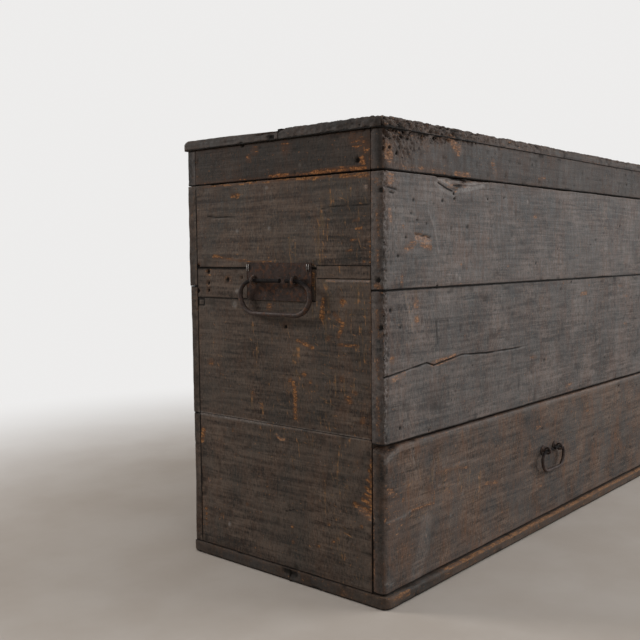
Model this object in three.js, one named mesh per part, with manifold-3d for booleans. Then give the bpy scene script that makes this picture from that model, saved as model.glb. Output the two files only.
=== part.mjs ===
// A plank-built Japanese ship chest (funa dansu) with a hinged lid, a full-width drawer and iron end handles.
// Millimetres. X runs along the chest, -Y is its front, +Z is up, and the origin is the centre of the base's underside.
import * as THREE from 'three';
import { mergeVertices } from 'three/addons/utils/BufferGeometryUtils.js';
import Module from 'manifold-3d';

const wasm = await Module();
wasm.setup();

// Carcass
const chestWidth = 940;
const chestDepth = 374;
const bodyHeight = 570;
const boardThickness = 20;
const jointGap = 0.5;
const boardArris = 1.8;
const innerArris = 0.8;
const cornerRadius = 9;
const backMiddleRecess = 2;
const backLowerRecess = 3;

// Base, of two boards
const baseThickness = 18;
const baseFrontOverhang = 6;
const baseEndOverhang = 3;
const baseBackOverhang = 1;
const baseCornerRadius = 16;
const baseNose = 5;
const baseFrontBoardWidth = 166;

// Heights of the joints between the boards, from the floor
const frontUpperJoint = 418;
const endLowerJoint = 223;
const endUpperJoint = 446;
const backLowerJoint = 221;

// How far the front's middle board hangs below the compartment floor's top
const frontBoardDrop = 5;

// Repair strips let into the left end
const stripDepth = 9;
const stripClearance = 0.4;
const stripSpacing = 3;
const wideStripHeight = 45;
const narrowStripHeight = 18;
const narrowStripRise = 4;
const stripPlateGap = 8;

// Splintered edge of the upper front board
const splinterStart = 114;
const splinterLength = 153;
const splinterHeight = 25;
const splinterDepth = 7;
const splinterStep = 1.2;
// Along the board as shares of the length, and down as shares of the height
const splinterShares = [[0, 0.15], [0.08, -0.35], [0.36, -1], [0.46, -0.62], [0.8, -0.42], [1, 0.15]];

// Floor of the upper compartment, housed in the lower end boards
const floorThickness = 12;
const housingDepth = 8;
const floorFrontBoardWidth = 170;

// Lid
const lidGap = 0.9;
const lidRimHeight = 53;
const lidTopThickness = 16.2;
const lidTopStep = 1.8;
const lidTopFrontBoardWidth = 178;
const lidFrontOverhang = 2;
const lidEndOverhang = 4;
const lidBackOverhang = 6;
const lidTopRound = 9;
const lidFlatFrontRadius = 11;
const lidFlatBackRadius = 2.5;
const lidRimCornerRadius = 11;
const battenWidth = 38;
const battenThickness = 12;
const battenInset = 208;

// Drawer
const drawerTopGap = 3.2;
const drawerFloorGap = 2;
const drawerEndGap = 1.2;
const drawerSideGap = 2;
const drawerBackGap = 7;
const drawerCornerRadius = 12;
const drawerRunGap = 0.3;
const drawerSideThickness = 12;
const drawerSideTopGap = 5;
const drawerBottomThickness = 9;

// Strap hinges
const hingeInset = 170;
const hingeWidth = 52;
const hingeTipWidth = 26;
const hingeLeafThickness = 1.8;
const hingeBodyLeafLength = 74;
const hingeLidLeafInset = 9;
const hingePinRadius = 2.2;
const hingePinClearance = 0.35;
const hingeBarrelRadius = 5;
const hingeFaceGap = 0.4;
const hingeKnuckleGap = 0.5;
const hingeMiddleKnuckle = 20;
const hingePinHeadRadius = 3.5;
const hingePinHeadLength = 2;
const nailHeadRadius = 3.6;
const nailHeadHeight = 1.5;
const nailEdge = 9;

// Iron handles at the ends, hung just below the end's upper joint
const handleBelowJoint = 17.5;
const handleFrontShift = 5;
const endHandle = {
  plateWidth: 124,
  plateHeight: 53,
  plateDrop: 28,
  plateThickness: 2,
  plateCorner: 3,
  gripWidth: 134,
  gripDrop: 47,
  gripRadius: 3.4,
  barRadius: 3.1,
  bendLength: 28,
  upperBend: 20,
  endGap: 11,
  gapShift: -17,
  eyeWire: 2.4,
  eyeClearance: 0.5,
  eyeStandOff: 0.3,
  shankRadius: 3,
  legLength: 24,
  legThickness: 2.2,
};

// Smaller bail pull of the same make at the middle of the drawer, on two round washers
const drawerPull = {
  plateThickness: 1.4,
  gripWidth: 78,
  gripDrop: 34,
  gripRadius: 2.9,
  barRadius: 2.5,
  bendLength: 17,
  upperBend: 14,
  endGap: 8,
  gapShift: 0,
  eyeWire: 1.9,
  eyeClearance: 0.5,
  eyeStandOff: 0.3,
  shankRadius: 2.3,
  legLength: 17,
  legThickness: 1.8,
};
const washerRadius = 9;
const drawerPullHeightShare = 0.58;

// A bail thickens from its bar to its grip over this share of its drop, and an eye's legs taper to this share
const thickeningShare = 0.45;
const legTaperShare = 0.35;

// Clearance of a shank in its hole, the gap under a seated iron, and how far a cut overruns
const shankClearance = 0.4;
const seatGap = 0.3;
const overrun = 5;

// Corners closer than this count as one when a shape becomes a solid
const mergeDistance = 1e-4;

// How finely round forms are drawn
const cornerSteps = 4;
const arrisFacets = 2;
const roundFacets = 3;
const bendSteps = 3;
const rodSides = 8;
const eyeSides = 6;
const eyeSteps = 14;
const legSides = 6;
const barrelSides = 14;
const washerSides = 16;
const nailSides = 8;
const nailRings = 4;

// Places that several parts share
const left = -chestWidth / 2;
const right = chestWidth / 2;
const front = -chestDepth / 2;
const back = chestDepth / 2;
const frontInner = front + boardThickness;
const backInner = back - boardThickness;
const endFront = frontInner + jointGap;
const endBack = backInner - jointGap;
const narrowStripStart = endFront + jointGap;
const narrowStripEnd = -handleFrontShift - endHandle.plateWidth / 2 - stripPlateGap;
const leftInner = left + boardThickness;
const rightInner = right - boardThickness;
const drawerOpeningTop = endLowerJoint - frontBoardDrop;
const floorTop = endLowerJoint - jointGap / 2;
const floorBottom = floorTop - floorThickness;
const handleHeight = endUpperJoint - handleBelowJoint;
const lidBottom = bodyHeight + lidGap;
const lidRimTop = lidBottom + lidRimHeight;
const lidTop = lidRimTop + lidTopThickness;
const hingeAxisY = back + hingeBarrelRadius + hingeFaceGap;
const hingeAxisZ = bodyHeight + lidGap / 2;
const hingeLidLeafLength = lidRimHeight - hingeLidLeafInset;
const drawerFrontBottom = baseThickness + drawerFloorGap;
const drawerFrontTop = drawerOpeningTop - drawerTopGap;
const drawerPullHeight = THREE.MathUtils.lerp(drawerFrontBottom, drawerFrontTop, drawerPullHeightShare);

// Longer than any board
const reach = chestWidth + chestDepth;

const agedWood = { color: 0x473d36, roughness: 0.62, metalness: 0 };
const innerWood = { color: 0x7d6348, roughness: 0.8, metalness: 0 };
const wroughtIron = { color: 0x362c28, roughness: 0.5, metalness: 0.7 };

const chest = new THREE.Group();

function addPiece(name, geometry, finish, parent = chest) {
  const mesh = new THREE.Mesh(geometry, new THREE.MeshStandardMaterial(finish));
  mesh.name = name;
  parent.add(mesh);
  return mesh;
}

// A closed geometry as a solid that can be cut and joined, and back again.
function toSolid(geometry) {
  const bare = geometry.index ? geometry.toNonIndexed() : geometry.clone();
  bare.deleteAttribute('normal');
  bare.deleteAttribute('uv');
  const merged = mergeVertices(bare, mergeDistance);
  return new wasm.Manifold(new wasm.Mesh({
    numProp: 3,
    vertProperties: merged.attributes.position.array,
    triVerts: new Uint32Array(merged.index.array),
  }));
}

function toGeometry(solid) {
  const mesh = solid.getMesh();
  const geometry = new THREE.BufferGeometry();
  geometry.setAttribute('position', new THREE.BufferAttribute(new Float32Array(mesh.vertProperties), 3));
  geometry.setIndex(new THREE.BufferAttribute(new Uint32Array(mesh.triVerts), 1));
  geometry.computeVertexNormals();
  return geometry;
}

function cut(geometry, ...tools) {
  return toGeometry(tools.reduce((solid, tool) => solid.subtract(toSolid(tool)), toSolid(geometry)));
}

function join(...geometries) {
  return toGeometry(geometries.map(toSolid).reduce((solid, other) => solid.add(other)));
}

function common(geometry, tool) {
  return toGeometry(toSolid(geometry).intersect(toSolid(tool)));
}

// A plain block between two corners.
function block(x0, x1, y0, y1, z0, z1) {
  const geometry = new THREE.BoxGeometry(x1 - x0, y1 - y0, z1 - z0);
  return geometry.translate((x0 + x1) / 2, (y0 + y1) / 2, (z0 + z1) / 2);
}

// A rod with its axis along Y, or turned to lie along X, from one end to the other.
function rodAlongY(radius, from, to, sides = barrelSides) {
  return new THREE.CylinderGeometry(radius, radius, to - from, sides).translate(0, (from + to) / 2, 0);
}

function rodAlongX(radius, from, to, sides = barrelSides) {
  return rodAlongY(radius, from, to, sides).rotateZ(-Math.PI / 2);
}

// A rectangle seen from above, whose two front and two back corners are rounded.
function planOutline(x0, x1, y0, y1, frontRadius, backRadius) {
  const outline = new THREE.Shape();
  const corner = (x, y, radius, start) => {
    if (radius > 0) outline.absarc(x, y, radius, start, start + Math.PI / 2, false);
    else outline.lineTo(x, y);
  };
  outline.moveTo(x0 + frontRadius, y0);
  corner(x1 - frontRadius, y0 + frontRadius, frontRadius, -Math.PI / 2);
  corner(x1 - backRadius, y1 - backRadius, backRadius, 0);
  corner(x0 + backRadius, y1 - backRadius, backRadius, Math.PI / 2);
  corner(x0 + frontRadius, y0 + frontRadius, frontRadius, Math.PI);
  return outline;
}

// A board or slab: a plan outline raised from one height to another, with worn arrises.
function slab(outline, z0, z1, arris, arrisSteps = arrisFacets) {
  const geometry = new THREE.ExtrudeGeometry(outline, {
    depth: z1 - z0 - 2 * arris,
    bevelEnabled: true,
    bevelThickness: arris,
    bevelSize: arris,
    bevelOffset: -arris,
    bevelSegments: arrisSteps,
    curveSegments: cornerSteps,
  });
  return geometry.translate(0, 0, z0 + arris);
}

function squareBoard(x0, x1, y0, y1, z0, z1) {
  return slab(planOutline(x0, x1, y0, y1, 0, 0), z0, z1, innerArris);
}

// The two boards of the base, cut from one slab whose edge is rounded over.
function makeBase() {
  const outline = planOutline(
    left - baseEndOverhang, right + baseEndOverhang,
    front - baseFrontOverhang, back + baseBackOverhang,
    baseCornerRadius, baseCornerRadius,
  );
  const whole = slab(outline, 0, baseThickness, baseNose, roundFacets);
  const seam = front + baseFrontBoardWidth;
  const half = (y0, y1) => block(-reach, reach, y0, y1, -overrun, baseThickness + overrun);
  addPiece('base_front_board', common(whole, half(-reach, seam - jointGap / 2)), agedWood);
  addPiece('base_back_board', common(whole, half(seam + jointGap / 2, reach)), agedWood);
}

// The eyes stand where the bail's upper bar starts to bend down.
function eyePlaces(size) {
  const half = size.gripWidth / 2 - size.bendLength;
  return [-half, half];
}

// Holes for a handle's two shanks through an end, along X.
function handleHoles(x0, x1) {
  const radius = endHandle.shankRadius + shankClearance;
  return eyePlaces(endHandle).map((y) => rodAlongX(radius, x0, x1, rodSides)
    .translate(0, y - handleFrontShift, handleHeight));
}

// Each end is three boards high and stands on the base between the front and back boards.
function makeEnd(name, outer, inner) {
  const x0 = Math.min(outer, inner);
  const x1 = Math.max(outer, inner);
  const inward = Math.sign(inner - outer);
  const half = jointGap / 2;
  const holes = handleHoles(x0 - overrun, x1 + overrun);
  const raise = (z0, z1) => squareBoard(x0, x1, endFront, endBack, z0, z1);
  let upper = raise(endUpperJoint + half, bodyHeight);
  let middle = cut(raise(endLowerJoint + half, endUpperJoint - half), ...holes);
  const housing = block(
    Math.min(inner, inner - inward * housingDepth) - (inward < 0 ? overrun : 0),
    Math.max(inner, inner - inward * housingDepth) + (inward > 0 ? overrun : 0),
    endFront - overrun, endBack + overrun,
    floorTop - floorThickness, endLowerJoint + overrun,
  );
  const lower = cut(raise(baseThickness, endLowerJoint - half), housing);
  if (name === 'left') {
    const pockets = [wideStrip(stripClearance, overrun), narrowStrip(stripClearance, overrun)];
    upper = cut(upper, ...pockets);
    middle = cut(middle, ...pockets);
    addPiece('left_end_wide_strip', cut(wideStrip(0, 0), ...holes), agedWood);
    addPiece('left_end_narrow_strip', narrowStrip(0, 0), agedWood);
  }
  addPiece(`${name}_end_upper_board`, upper, agedWood);
  addPiece(`${name}_end_middle_board`, middle, agedWood);
  addPiece(`${name}_end_lower_board`, lower, agedWood);
}

// The wide strip carries the handle. Both strips are let in from the outer face.
function wideStrip(grow, proud) {
  const top = endUpperJoint - jointGap / 2;
  return block(
    left - proud, left + stripDepth + grow,
    narrowStripEnd + stripSpacing - grow, endBack - jointGap + grow,
    top - wideStripHeight - grow, top + grow,
  );
}

function narrowStrip(grow, proud) {
  const top = endUpperJoint + narrowStripRise;
  return block(
    left - proud, left + stripDepth + grow,
    narrowStripStart - grow, narrowStripEnd + grow,
    top - narrowStripHeight - grow, top + grow,
  );
}

// The wedge of wood that has split away along the top of the upper front board.
function splinter() {
  const points = splinterShares.map(([along, up]) => new THREE.Vector2(along * splinterLength, up * splinterHeight));
  const outline = new THREE.Shape(points);
  const wedge = new THREE.ExtrudeGeometry(outline, { depth: splinterDepth + overrun, bevelEnabled: false });
  wedge.rotateX(Math.PI / 2).translate(0, splinterDepth, 0);
  wedge.rotateX(-Math.atan2(splinterDepth, splinterHeight));
  return wedge.translate(left + splinterStart, front + splinterStep, bodyHeight);
}

// Front and back boards run the whole width and lap over the ends.
function makeFrontAndBack() {
  const half = jointGap / 2;
  const frontOutline = planOutline(left, right, front, frontInner, cornerRadius, 0);
  const upper = slab(frontOutline, frontUpperJoint + half, bodyHeight, boardArris);
  addPiece('front_upper_board', cut(upper, splinter()), agedWood);
  addPiece('front_middle_board', slab(frontOutline, drawerOpeningTop, frontUpperJoint - half, boardArris), agedWood);

  const backOutline = (recess) => planOutline(left, right, backInner, back - recess, 0, cornerRadius);
  addPiece('back_upper_board', slab(backOutline(0), frontUpperJoint + half, bodyHeight, boardArris), agedWood);
  addPiece(
    'back_middle_board',
    slab(backOutline(backMiddleRecess), backLowerJoint + half, frontUpperJoint - half, boardArris),
    agedWood,
  );
  addPiece(
    'back_lower_board',
    slab(backOutline(backLowerRecess), baseThickness, backLowerJoint - half, boardArris),
    agedWood,
  );
}

// The compartment's floor lies in the rebates of the lower end boards, above the drawer.
function makeCompartmentFloor() {
  const x0 = leftInner - housingDepth + jointGap;
  const x1 = rightInner + housingDepth - jointGap;
  const seam = endFront + floorFrontBoardWidth;
  const board = (y0, y1) => squareBoard(x0, x1, y0, y1, floorBottom + seatGap, floorTop);
  addPiece('compartment_floor_front_board', board(endFront, seam - jointGap / 2), innerWood);
  addPiece('compartment_floor_back_board', board(seam + jointGap / 2, endBack), innerWood);
}

// The lid: a rim of four boards under a top of two, held together by battens.
function makeLid() {
  const rimFront = planOutline(left, right, front, frontInner, lidRimCornerRadius, 0);
  const rimBack = planOutline(left, right, backInner, back, 0, cornerRadius);
  const rimTop = lidRimTop - jointGap / 2;
  addPiece('lid_front_rim', slab(rimFront, lidBottom, rimTop, boardArris), agedWood);
  addPiece('lid_back_rim', slab(rimBack, lidBottom, rimTop, boardArris), agedWood);
  addPiece('lid_left_rim', squareBoard(left, leftInner, endFront, endBack, lidBottom, rimTop), agedWood);
  addPiece('lid_right_rim', squareBoard(rightInner, right, endFront, endBack, lidBottom, rimTop), agedWood);

  // The slab's lower arris is cut off, so that only the upper edge is rounded.
  const outline = planOutline(
    left - lidEndOverhang, right + lidEndOverhang, front - lidFrontOverhang, back + lidBackOverhang,
    lidFlatFrontRadius + lidTopRound, lidFlatBackRadius + lidTopRound,
  );
  const whole = slab(outline, lidRimTop - 2 * lidTopRound, lidTop, lidTopRound, roundFacets);
  const seam = front + lidTopFrontBoardWidth;
  const part = (y0, y1, top) => common(whole, block(-reach, reach, y0, y1, lidRimTop, top));
  addPiece('lid_top_front_board', part(-reach, seam - jointGap / 2, lidTop + overrun), agedWood);
  addPiece('lid_top_back_board', part(seam + jointGap / 2, reach, lidTop - lidTopStep), agedWood);

  for (const [name, x] of [['left', left + battenInset], ['right', right - battenInset]]) {
    addPiece(`lid_${name}_batten`, squareBoard(
      x - battenWidth / 2, x + battenWidth / 2, endFront, endBack,
      lidRimTop - jointGap - battenThickness, lidRimTop - jointGap / 2,
    ), innerWood);
  }
}

// The drawer: a thick front that covers the whole width, and a thin box behind it that slides on the base.
function makeDrawer() {
  const outline = planOutline(left, right, front, frontInner - drawerEndGap, drawerCornerRadius, 0);
  const x0 = leftInner + drawerSideGap;
  const x1 = rightInner - drawerSideGap;
  const y0 = frontInner - drawerEndGap;
  const y1 = backInner - drawerBackGap;
  const bottom = baseThickness + drawerRunGap;
  const sideBottom = bottom + drawerBottomThickness;
  const sideTop = floorBottom - drawerSideTopGap;
  const inner = drawerSideThickness;
  const holes = pullHoles(front - overrun, frontInner + overrun);
  const face = slab(outline, drawerFrontBottom, drawerFrontTop, boardArris, roundFacets);
  addPiece('drawer_front', cut(face, ...holes), agedWood);
  addPiece('drawer_left_side', squareBoard(x0, x0 + inner, y0, y1, sideBottom, sideTop), innerWood);
  addPiece('drawer_right_side', squareBoard(x1 - inner, x1, y0, y1, sideBottom, sideTop), innerWood);
  addPiece('drawer_back', squareBoard(x0 + inner, x1 - inner, y1 - inner, y1, sideBottom, sideTop), innerWood);
  addPiece('drawer_bottom', squareBoard(x0, x1, y0, y1, bottom, sideBottom), innerWood);
}

function pullHoles(y0, y1) {
  const radius = drawerPull.shankRadius + shankClearance;
  return eyePlaces(drawerPull).map((x) => rodAlongY(radius, y0, y1, rodSides).translate(x, 0, drawerPullHeight));
}

// A round rod swept along a flat path, with a radius for each point and flat ends.
function sweepRod(path, radii, sides) {
  const positions = [];
  const faces = [];
  path.forEach((point, i) => {
    const before = path[Math.max(i - 1, 0)];
    const after = path[Math.min(i + 1, path.length - 1)];
    const along = after.clone().sub(before).normalize();
    for (let s = 0; s < sides; s++) {
      const turn = (s / sides) * 2 * Math.PI;
      const across = Math.cos(turn) * radii[i];
      positions.push(Math.sin(turn) * radii[i], point.x - along.y * across, point.y + along.x * across);
    }
  });
  const first = positions.length / 3;
  positions.push(0, path[0].x, path[0].y, 0, path.at(-1).x, path.at(-1).y);
  for (let i = 0; i < path.length - 1; i++) {
    for (let s = 0; s < sides; s++) {
      const a = i * sides + s;
      const b = i * sides + (s + 1) % sides;
      faces.push(a, b, a + sides, b, b + sides, a + sides);
    }
  }
  const last = (path.length - 1) * sides;
  for (let s = 0; s < sides; s++) {
    faces.push(first, (s + 1) % sides, s);
    faces.push(first + 1, last + s, last + (s + 1) % sides);
  }
  const geometry = new THREE.BufferGeometry();
  geometry.setAttribute('position', new THREE.Float32BufferAttribute(positions, 3));
  geometry.setIndex(faces);
  return geometry;
}

// The bail hangs from its straight upper bar, which is open between the eyes. It lies in the YZ plane, pivot at the
// origin, and thickens from the bar to the grip.
function bailGeometry(size) {
  const half = size.gripWidth / 2;
  const { bendLength, upperBend, gripDrop, endGap, gapShift } = size;
  const loop = new THREE.Path();
  loop.moveTo(half - bendLength, 0);
  loop.absellipse(half - bendLength, -upperBend, bendLength, upperBend, Math.PI / 2, 0, true);
  loop.absellipse(half - bendLength, -upperBend, bendLength, gripDrop - upperBend, 0, -Math.PI / 2, true);
  const oneSide = loop.getPoints(bendSteps);
  const otherSide = oneSide.map((p) => new THREE.Vector2(-p.x, p.y)).reverse();
  const tips = [gapShift + endGap / 2, gapShift - endGap / 2].map((y) => new THREE.Vector2(y, 0));
  const path = [tips[0], ...oneSide, ...otherSide, tips[1]];
  const thickness = (p) => {
    const share = THREE.MathUtils.smoothstep(-p.y / gripDrop, 0, thickeningShare);
    return THREE.MathUtils.lerp(size.barRadius, size.gripRadius, share);
  };
  return sweepRod(path, path.map(thickness), rodSides);
}

// A split eye: a loop round the bar, a shank through the board, and two legs spread flat behind it.
// It is drawn for a board whose outer face is the plane X = 0 with the outside at -X, pivot at Y = Z = 0.
function splitEye(size, pivot, shankEnd) {
  const holeRadius = size.barRadius + size.eyeClearance;
  const ring = new THREE.TorusGeometry(holeRadius + size.eyeWire, size.eyeWire, eyeSides, eyeSteps);
  ring.rotateX(Math.PI / 2).translate(-pivot, 0, 0);
  const shankStart = -pivot + holeRadius + size.eyeWire;
  const legPlace = shankEnd + seatGap + size.legThickness;
  const shank = rodAlongX(size.shankRadius, shankStart, legPlace, rodSides);
  const legs = [-1, 1].map((side) => {
    const tip = size.legThickness * legTaperShare;
    const leg = new THREE.CylinderGeometry(tip, size.legThickness, size.legLength, legSides);
    leg.scale(1, 1, size.shankRadius / size.legThickness).translate(0, size.legLength / 2, 0);
    return leg.rotateX(side * Math.PI / 2).translate(legPlace, 0, 0);
  });
  return join(ring, shank, ...legs);
}

// Distance from the mounting face to the bail's pivot.
function pivotOffset(size) {
  return seatGap + size.plateThickness + size.eyeStandOff + size.barRadius + size.eyeClearance + 2 * size.eyeWire;
}

// A group whose plane X = 0 is the mounting face, with -X facing away from the chest.
function mountingGroup(x, y, z, turn) {
  const group = new THREE.Group();
  group.position.set(x, y, z);
  group.rotation.z = turn;
  chest.add(group);
  return group;
}

// The plate lies behind both eyes, with a hole for each shank.
function handlePlate(size) {
  const outline = planOutline(
    -size.plateWidth / 2, size.plateWidth / 2, -size.plateDrop, size.plateHeight - size.plateDrop,
    size.plateCorner, size.plateCorner,
  );
  const plate = new THREE.ExtrudeGeometry(outline, {
    depth: size.plateThickness, bevelEnabled: false, curveSegments: 1,
  });
  plate.rotateX(Math.PI / 2).rotateZ(-Math.PI / 2);
  const holes = eyePlaces(size).map((y) => rodAlongX(
    size.shankRadius + shankClearance, -size.plateThickness - overrun, overrun, rodSides,
  ).translate(0, y, 0));
  return cut(plate, ...holes).translate(-seatGap, 0, 0);
}

function makeEndHandle(name, side) {
  const size = endHandle;
  const turn = side < 0 ? 0 : Math.PI;
  const group = mountingGroup(side * chestWidth / 2, -handleFrontShift, handleHeight, turn);
  const pivot = pivotOffset(size);
  addPiece(`${name}_handle_plate`, handlePlate(size), wroughtIron, group);
  for (const y of eyePlaces(size)) {
    const place = y * side > 0 ? 'front' : 'back';
    const eye = splitEye(size, pivot, boardThickness).translate(0, y, 0);
    addPiece(`${name}_handle_${place}_eye`, eye, wroughtIron, group);
  }
  addPiece(`${name}_handle_bail`, bailGeometry(size).translate(-pivot, 0, 0), wroughtIron, group);
}

function makeDrawerPull() {
  const size = drawerPull;
  const group = mountingGroup(0, front, drawerPullHeight, Math.PI / 2);
  const pivot = pivotOffset(size);
  for (const y of eyePlaces(size)) {
    const washer = rodAlongX(washerRadius, -size.plateThickness - seatGap, -seatGap, washerSides);
    const eye = join(splitEye(size, pivot, boardThickness - drawerEndGap), washer).translate(0, y, 0);
    addPiece(`drawer_pull_${y > 0 ? 'left' : 'right'}_eye`, eye, wroughtIron, group);
  }
  addPiece('drawer_pull_bail', bailGeometry(size).translate(-pivot, 0, 0), wroughtIron, group);
}

// A domed nail head on a leaf, its flat side on the plane Y = 0.
function nailHead() {
  const dome = new THREE.SphereGeometry(nailHeadRadius, nailSides, nailRings);
  return dome.scale(1, nailHeadHeight / nailHeadRadius, 1);
}

// A hinge leaf hangs from its knuckles, drawn with the hinge axis at the origin and pointing down.
function hingeLeaf(length, knuckles) {
  const face = -(hingeBarrelRadius + hingeFaceGap);
  const halfWidth = hingeWidth / 2;
  const halfTip = hingeTipWidth / 2;
  const leafTop = -hingeBarrelRadius - hingeKnuckleGap;
  const outline = new THREE.Shape([
    new THREE.Vector2(-halfWidth, leafTop), new THREE.Vector2(-halfTip, -length),
    new THREE.Vector2(halfTip, -length), new THREE.Vector2(halfWidth, leafTop),
  ]);
  const leaf = new THREE.ExtrudeGeometry(outline, { depth: hingeLeafThickness, bevelEnabled: false });
  leaf.rotateX(Math.PI / 2).translate(0, face + hingeLeafThickness + seatGap, 0);
  const pieces = [leaf];
  for (const [x0, x1] of knuckles) {
    pieces.push(rodAlongX(hingeBarrelRadius, x0, x1));
    pieces.push(block(
      x0, x1, face + seatGap, face + seatGap + hingeLeafThickness,
      -hingeBarrelRadius - 2 * hingeKnuckleGap, 0,
    ));
  }
  const nailY = face + hingeLeafThickness + seatGap;
  const rows = [-hingeBarrelRadius - nailEdge, nailEdge - length];
  const spreads = [halfWidth - nailEdge, 0];
  rows.forEach((z, i) => {
    for (const x of new Set([-spreads[i], spreads[i]])) pieces.push(nailHead().translate(x, nailY, z));
  });
  const bore = rodAlongX(hingePinRadius + hingePinClearance, -hingeWidth, hingeWidth);
  return cut(join(...pieces), bore);
}

function makeHinge(name, x) {
  const halfWidth = hingeWidth / 2;
  const halfMiddle = hingeMiddleKnuckle / 2;
  const outerKnuckles = [[-halfWidth, -halfMiddle - hingeKnuckleGap], [halfMiddle + hingeKnuckleGap, halfWidth]];
  const bodyLeaf = hingeLeaf(hingeBodyLeafLength, outerKnuckles);
  const lidLeaf = hingeLeaf(hingeLidLeafLength, [[-halfMiddle, halfMiddle]]);
  lidLeaf.applyMatrix4(new THREE.Matrix4().makeScale(-1, 1, -1));
  const headStart = halfWidth + hingeKnuckleGap;
  const pin = join(
    rodAlongX(hingePinRadius, -headStart, headStart),
    rodAlongX(hingePinHeadRadius, headStart, headStart + hingePinHeadLength),
    rodAlongX(hingePinHeadRadius, -headStart - hingePinHeadLength, -headStart),
  );
  const place = (pieceName, geometry) => {
    addPiece(pieceName, geometry, wroughtIron).position.set(x, hingeAxisY, hingeAxisZ);
  };
  place(`${name}_hinge_body_leaf`, bodyLeaf);
  place(`${name}_hinge_lid_leaf`, lidLeaf);
  place(`${name}_hinge_pin`, pin);
}

makeBase();
makeEnd('left', left, leftInner);
makeEnd('right', right, rightInner);
makeFrontAndBack();
makeCompartmentFloor();
makeLid();
makeDrawer();
makeEndHandle('left', -1);
makeEndHandle('right', 1);
makeDrawerPull();
makeHinge('left', left + hingeInset);
makeHinge('right', right - hingeInset);

export default chest;
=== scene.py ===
"""A plank-built ship chest (funa dansu): worn boards, a drawer, forged bail handles and strap hinges.

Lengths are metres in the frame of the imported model: X runs along the chest, -Y is its front and +Z is up.
Places on a face and the boards' own lengths are given in millimetres, as they are read off the wood.
"""

import logging
import math
from collections.abc import Callable, Iterable, Sequence
from dataclasses import dataclass, field
from enum import Enum
from itertools import product

import bmesh
import bpy
import numpy as np
from mathutils import Matrix, Vector


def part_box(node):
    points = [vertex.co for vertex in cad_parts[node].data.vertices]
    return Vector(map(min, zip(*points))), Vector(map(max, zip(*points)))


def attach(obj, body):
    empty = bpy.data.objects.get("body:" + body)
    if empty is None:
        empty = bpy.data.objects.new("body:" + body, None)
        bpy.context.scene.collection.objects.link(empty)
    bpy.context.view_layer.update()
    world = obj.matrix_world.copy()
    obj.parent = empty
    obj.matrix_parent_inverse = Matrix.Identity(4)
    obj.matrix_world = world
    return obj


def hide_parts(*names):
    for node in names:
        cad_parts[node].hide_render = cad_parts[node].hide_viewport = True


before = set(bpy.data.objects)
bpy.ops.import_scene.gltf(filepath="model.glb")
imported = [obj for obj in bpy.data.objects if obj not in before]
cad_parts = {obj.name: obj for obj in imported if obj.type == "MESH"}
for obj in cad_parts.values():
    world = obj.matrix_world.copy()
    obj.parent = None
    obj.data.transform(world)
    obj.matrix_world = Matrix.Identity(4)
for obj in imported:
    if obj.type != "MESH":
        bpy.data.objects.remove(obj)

LOG = logging.getLogger("ship_chest")
MM = 0.001
TINY = 1e-12

Point = tuple[float, float]
Colour = tuple[float, float, float]
Socket = bpy.types.NodeSocket
Value = float | tuple | Socket
Array = np.ndarray
Sockets = dict[str, Socket]


class Side(Enum):
    """The six sides of a board, each with its axis and the sign of its outward direction."""

    LEFT = (0, -1)
    RIGHT = (0, 1)
    FRONT = (1, -1)
    BACK = (1, 1)
    BOTTOM = (2, -1)
    TOP = (2, 1)

    @property
    def axis(self) -> int:
        """The axis that the side faces along."""
        return self.value[0]

    @property
    def sign(self) -> int:
        """1 if the side faces along its axis, and -1 if it faces the other way."""
        return self.value[1]

    @property
    def across(self) -> tuple[int, int]:
        """The two axes that lie in the side."""
        return tuple(axis for axis in range(3) if axis != self.axis)


LEFT, RIGHT, FRONT, BACK, BOTTOM, TOP = Side
ENDS = (LEFT, RIGHT)
UPRIGHT = (*ENDS, FRONT, BACK)


class Grain(Enum):
    """The direction that a board's grain runs in, with the order of its along, across and depth axes."""

    ALONG_X = (0, 2, 1)
    ALONG_Y = (1, 2, 0)


ALONG_X, ALONG_Y = Grain


def ease(share: Array) -> Array:
    """A share from 0 to 1, eased at both ends."""
    return share * share * (3 - 2 * share)


class SmoothNoise:
    """Seeded smooth noise over points in space, from -1 to 1."""

    SIZE = 48

    def __init__(self, seed: int) -> None:
        """Draws the lattice of values that the noise runs through."""
        self.values = np.random.default_rng(seed).uniform(-1.0, 1.0, (self.SIZE,) * 3)

    def at(self, points: Array, cell: Sequence[float]) -> Array:
        """The noise at each point.

        Args:
            points: Places, one to a row.
            cell: The noise's wavelength along each axis.

        Returns:
            One value for each point.
        """
        place = points / np.asarray(cell)
        corner = np.floor(place).astype(int)
        part = ease(place - corner)
        total = np.zeros(len(points))
        for offset in product((0, 1), repeat=3):
            weight = np.ones(len(points))
            for axis, step in enumerate(offset):
                weight *= part[:, axis] if step else 1 - part[:, axis]
            i, j, k = ((corner + offset) % self.SIZE).T
            total += weight * self.values[i, j, k]
        return total

    def even(self, points: Array, cell: float) -> Array:
        """The noise with one wavelength, in millimetres, along every axis."""
        return self.at(points, (cell * MM,) * 3)


NOISE = SmoothNoise(seed=7)


@dataclass(frozen=True)
class Mark:
    """A dent, scratch, stain or worn patch along a line on a side, in millimetres across and up that side.

    depth and rough carve the wood. The rest say how much of each effect the finish shows there, from 0 to 1.
    """

    line: tuple[Point, ...]
    radius: float
    depth: float = 0.0
    rough: float = 0.0
    bare: float = 0.0
    scratch: float = 0.0
    dark: float = 0.0
    pale: float = 0.0
    eaten: float = 0.0


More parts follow.
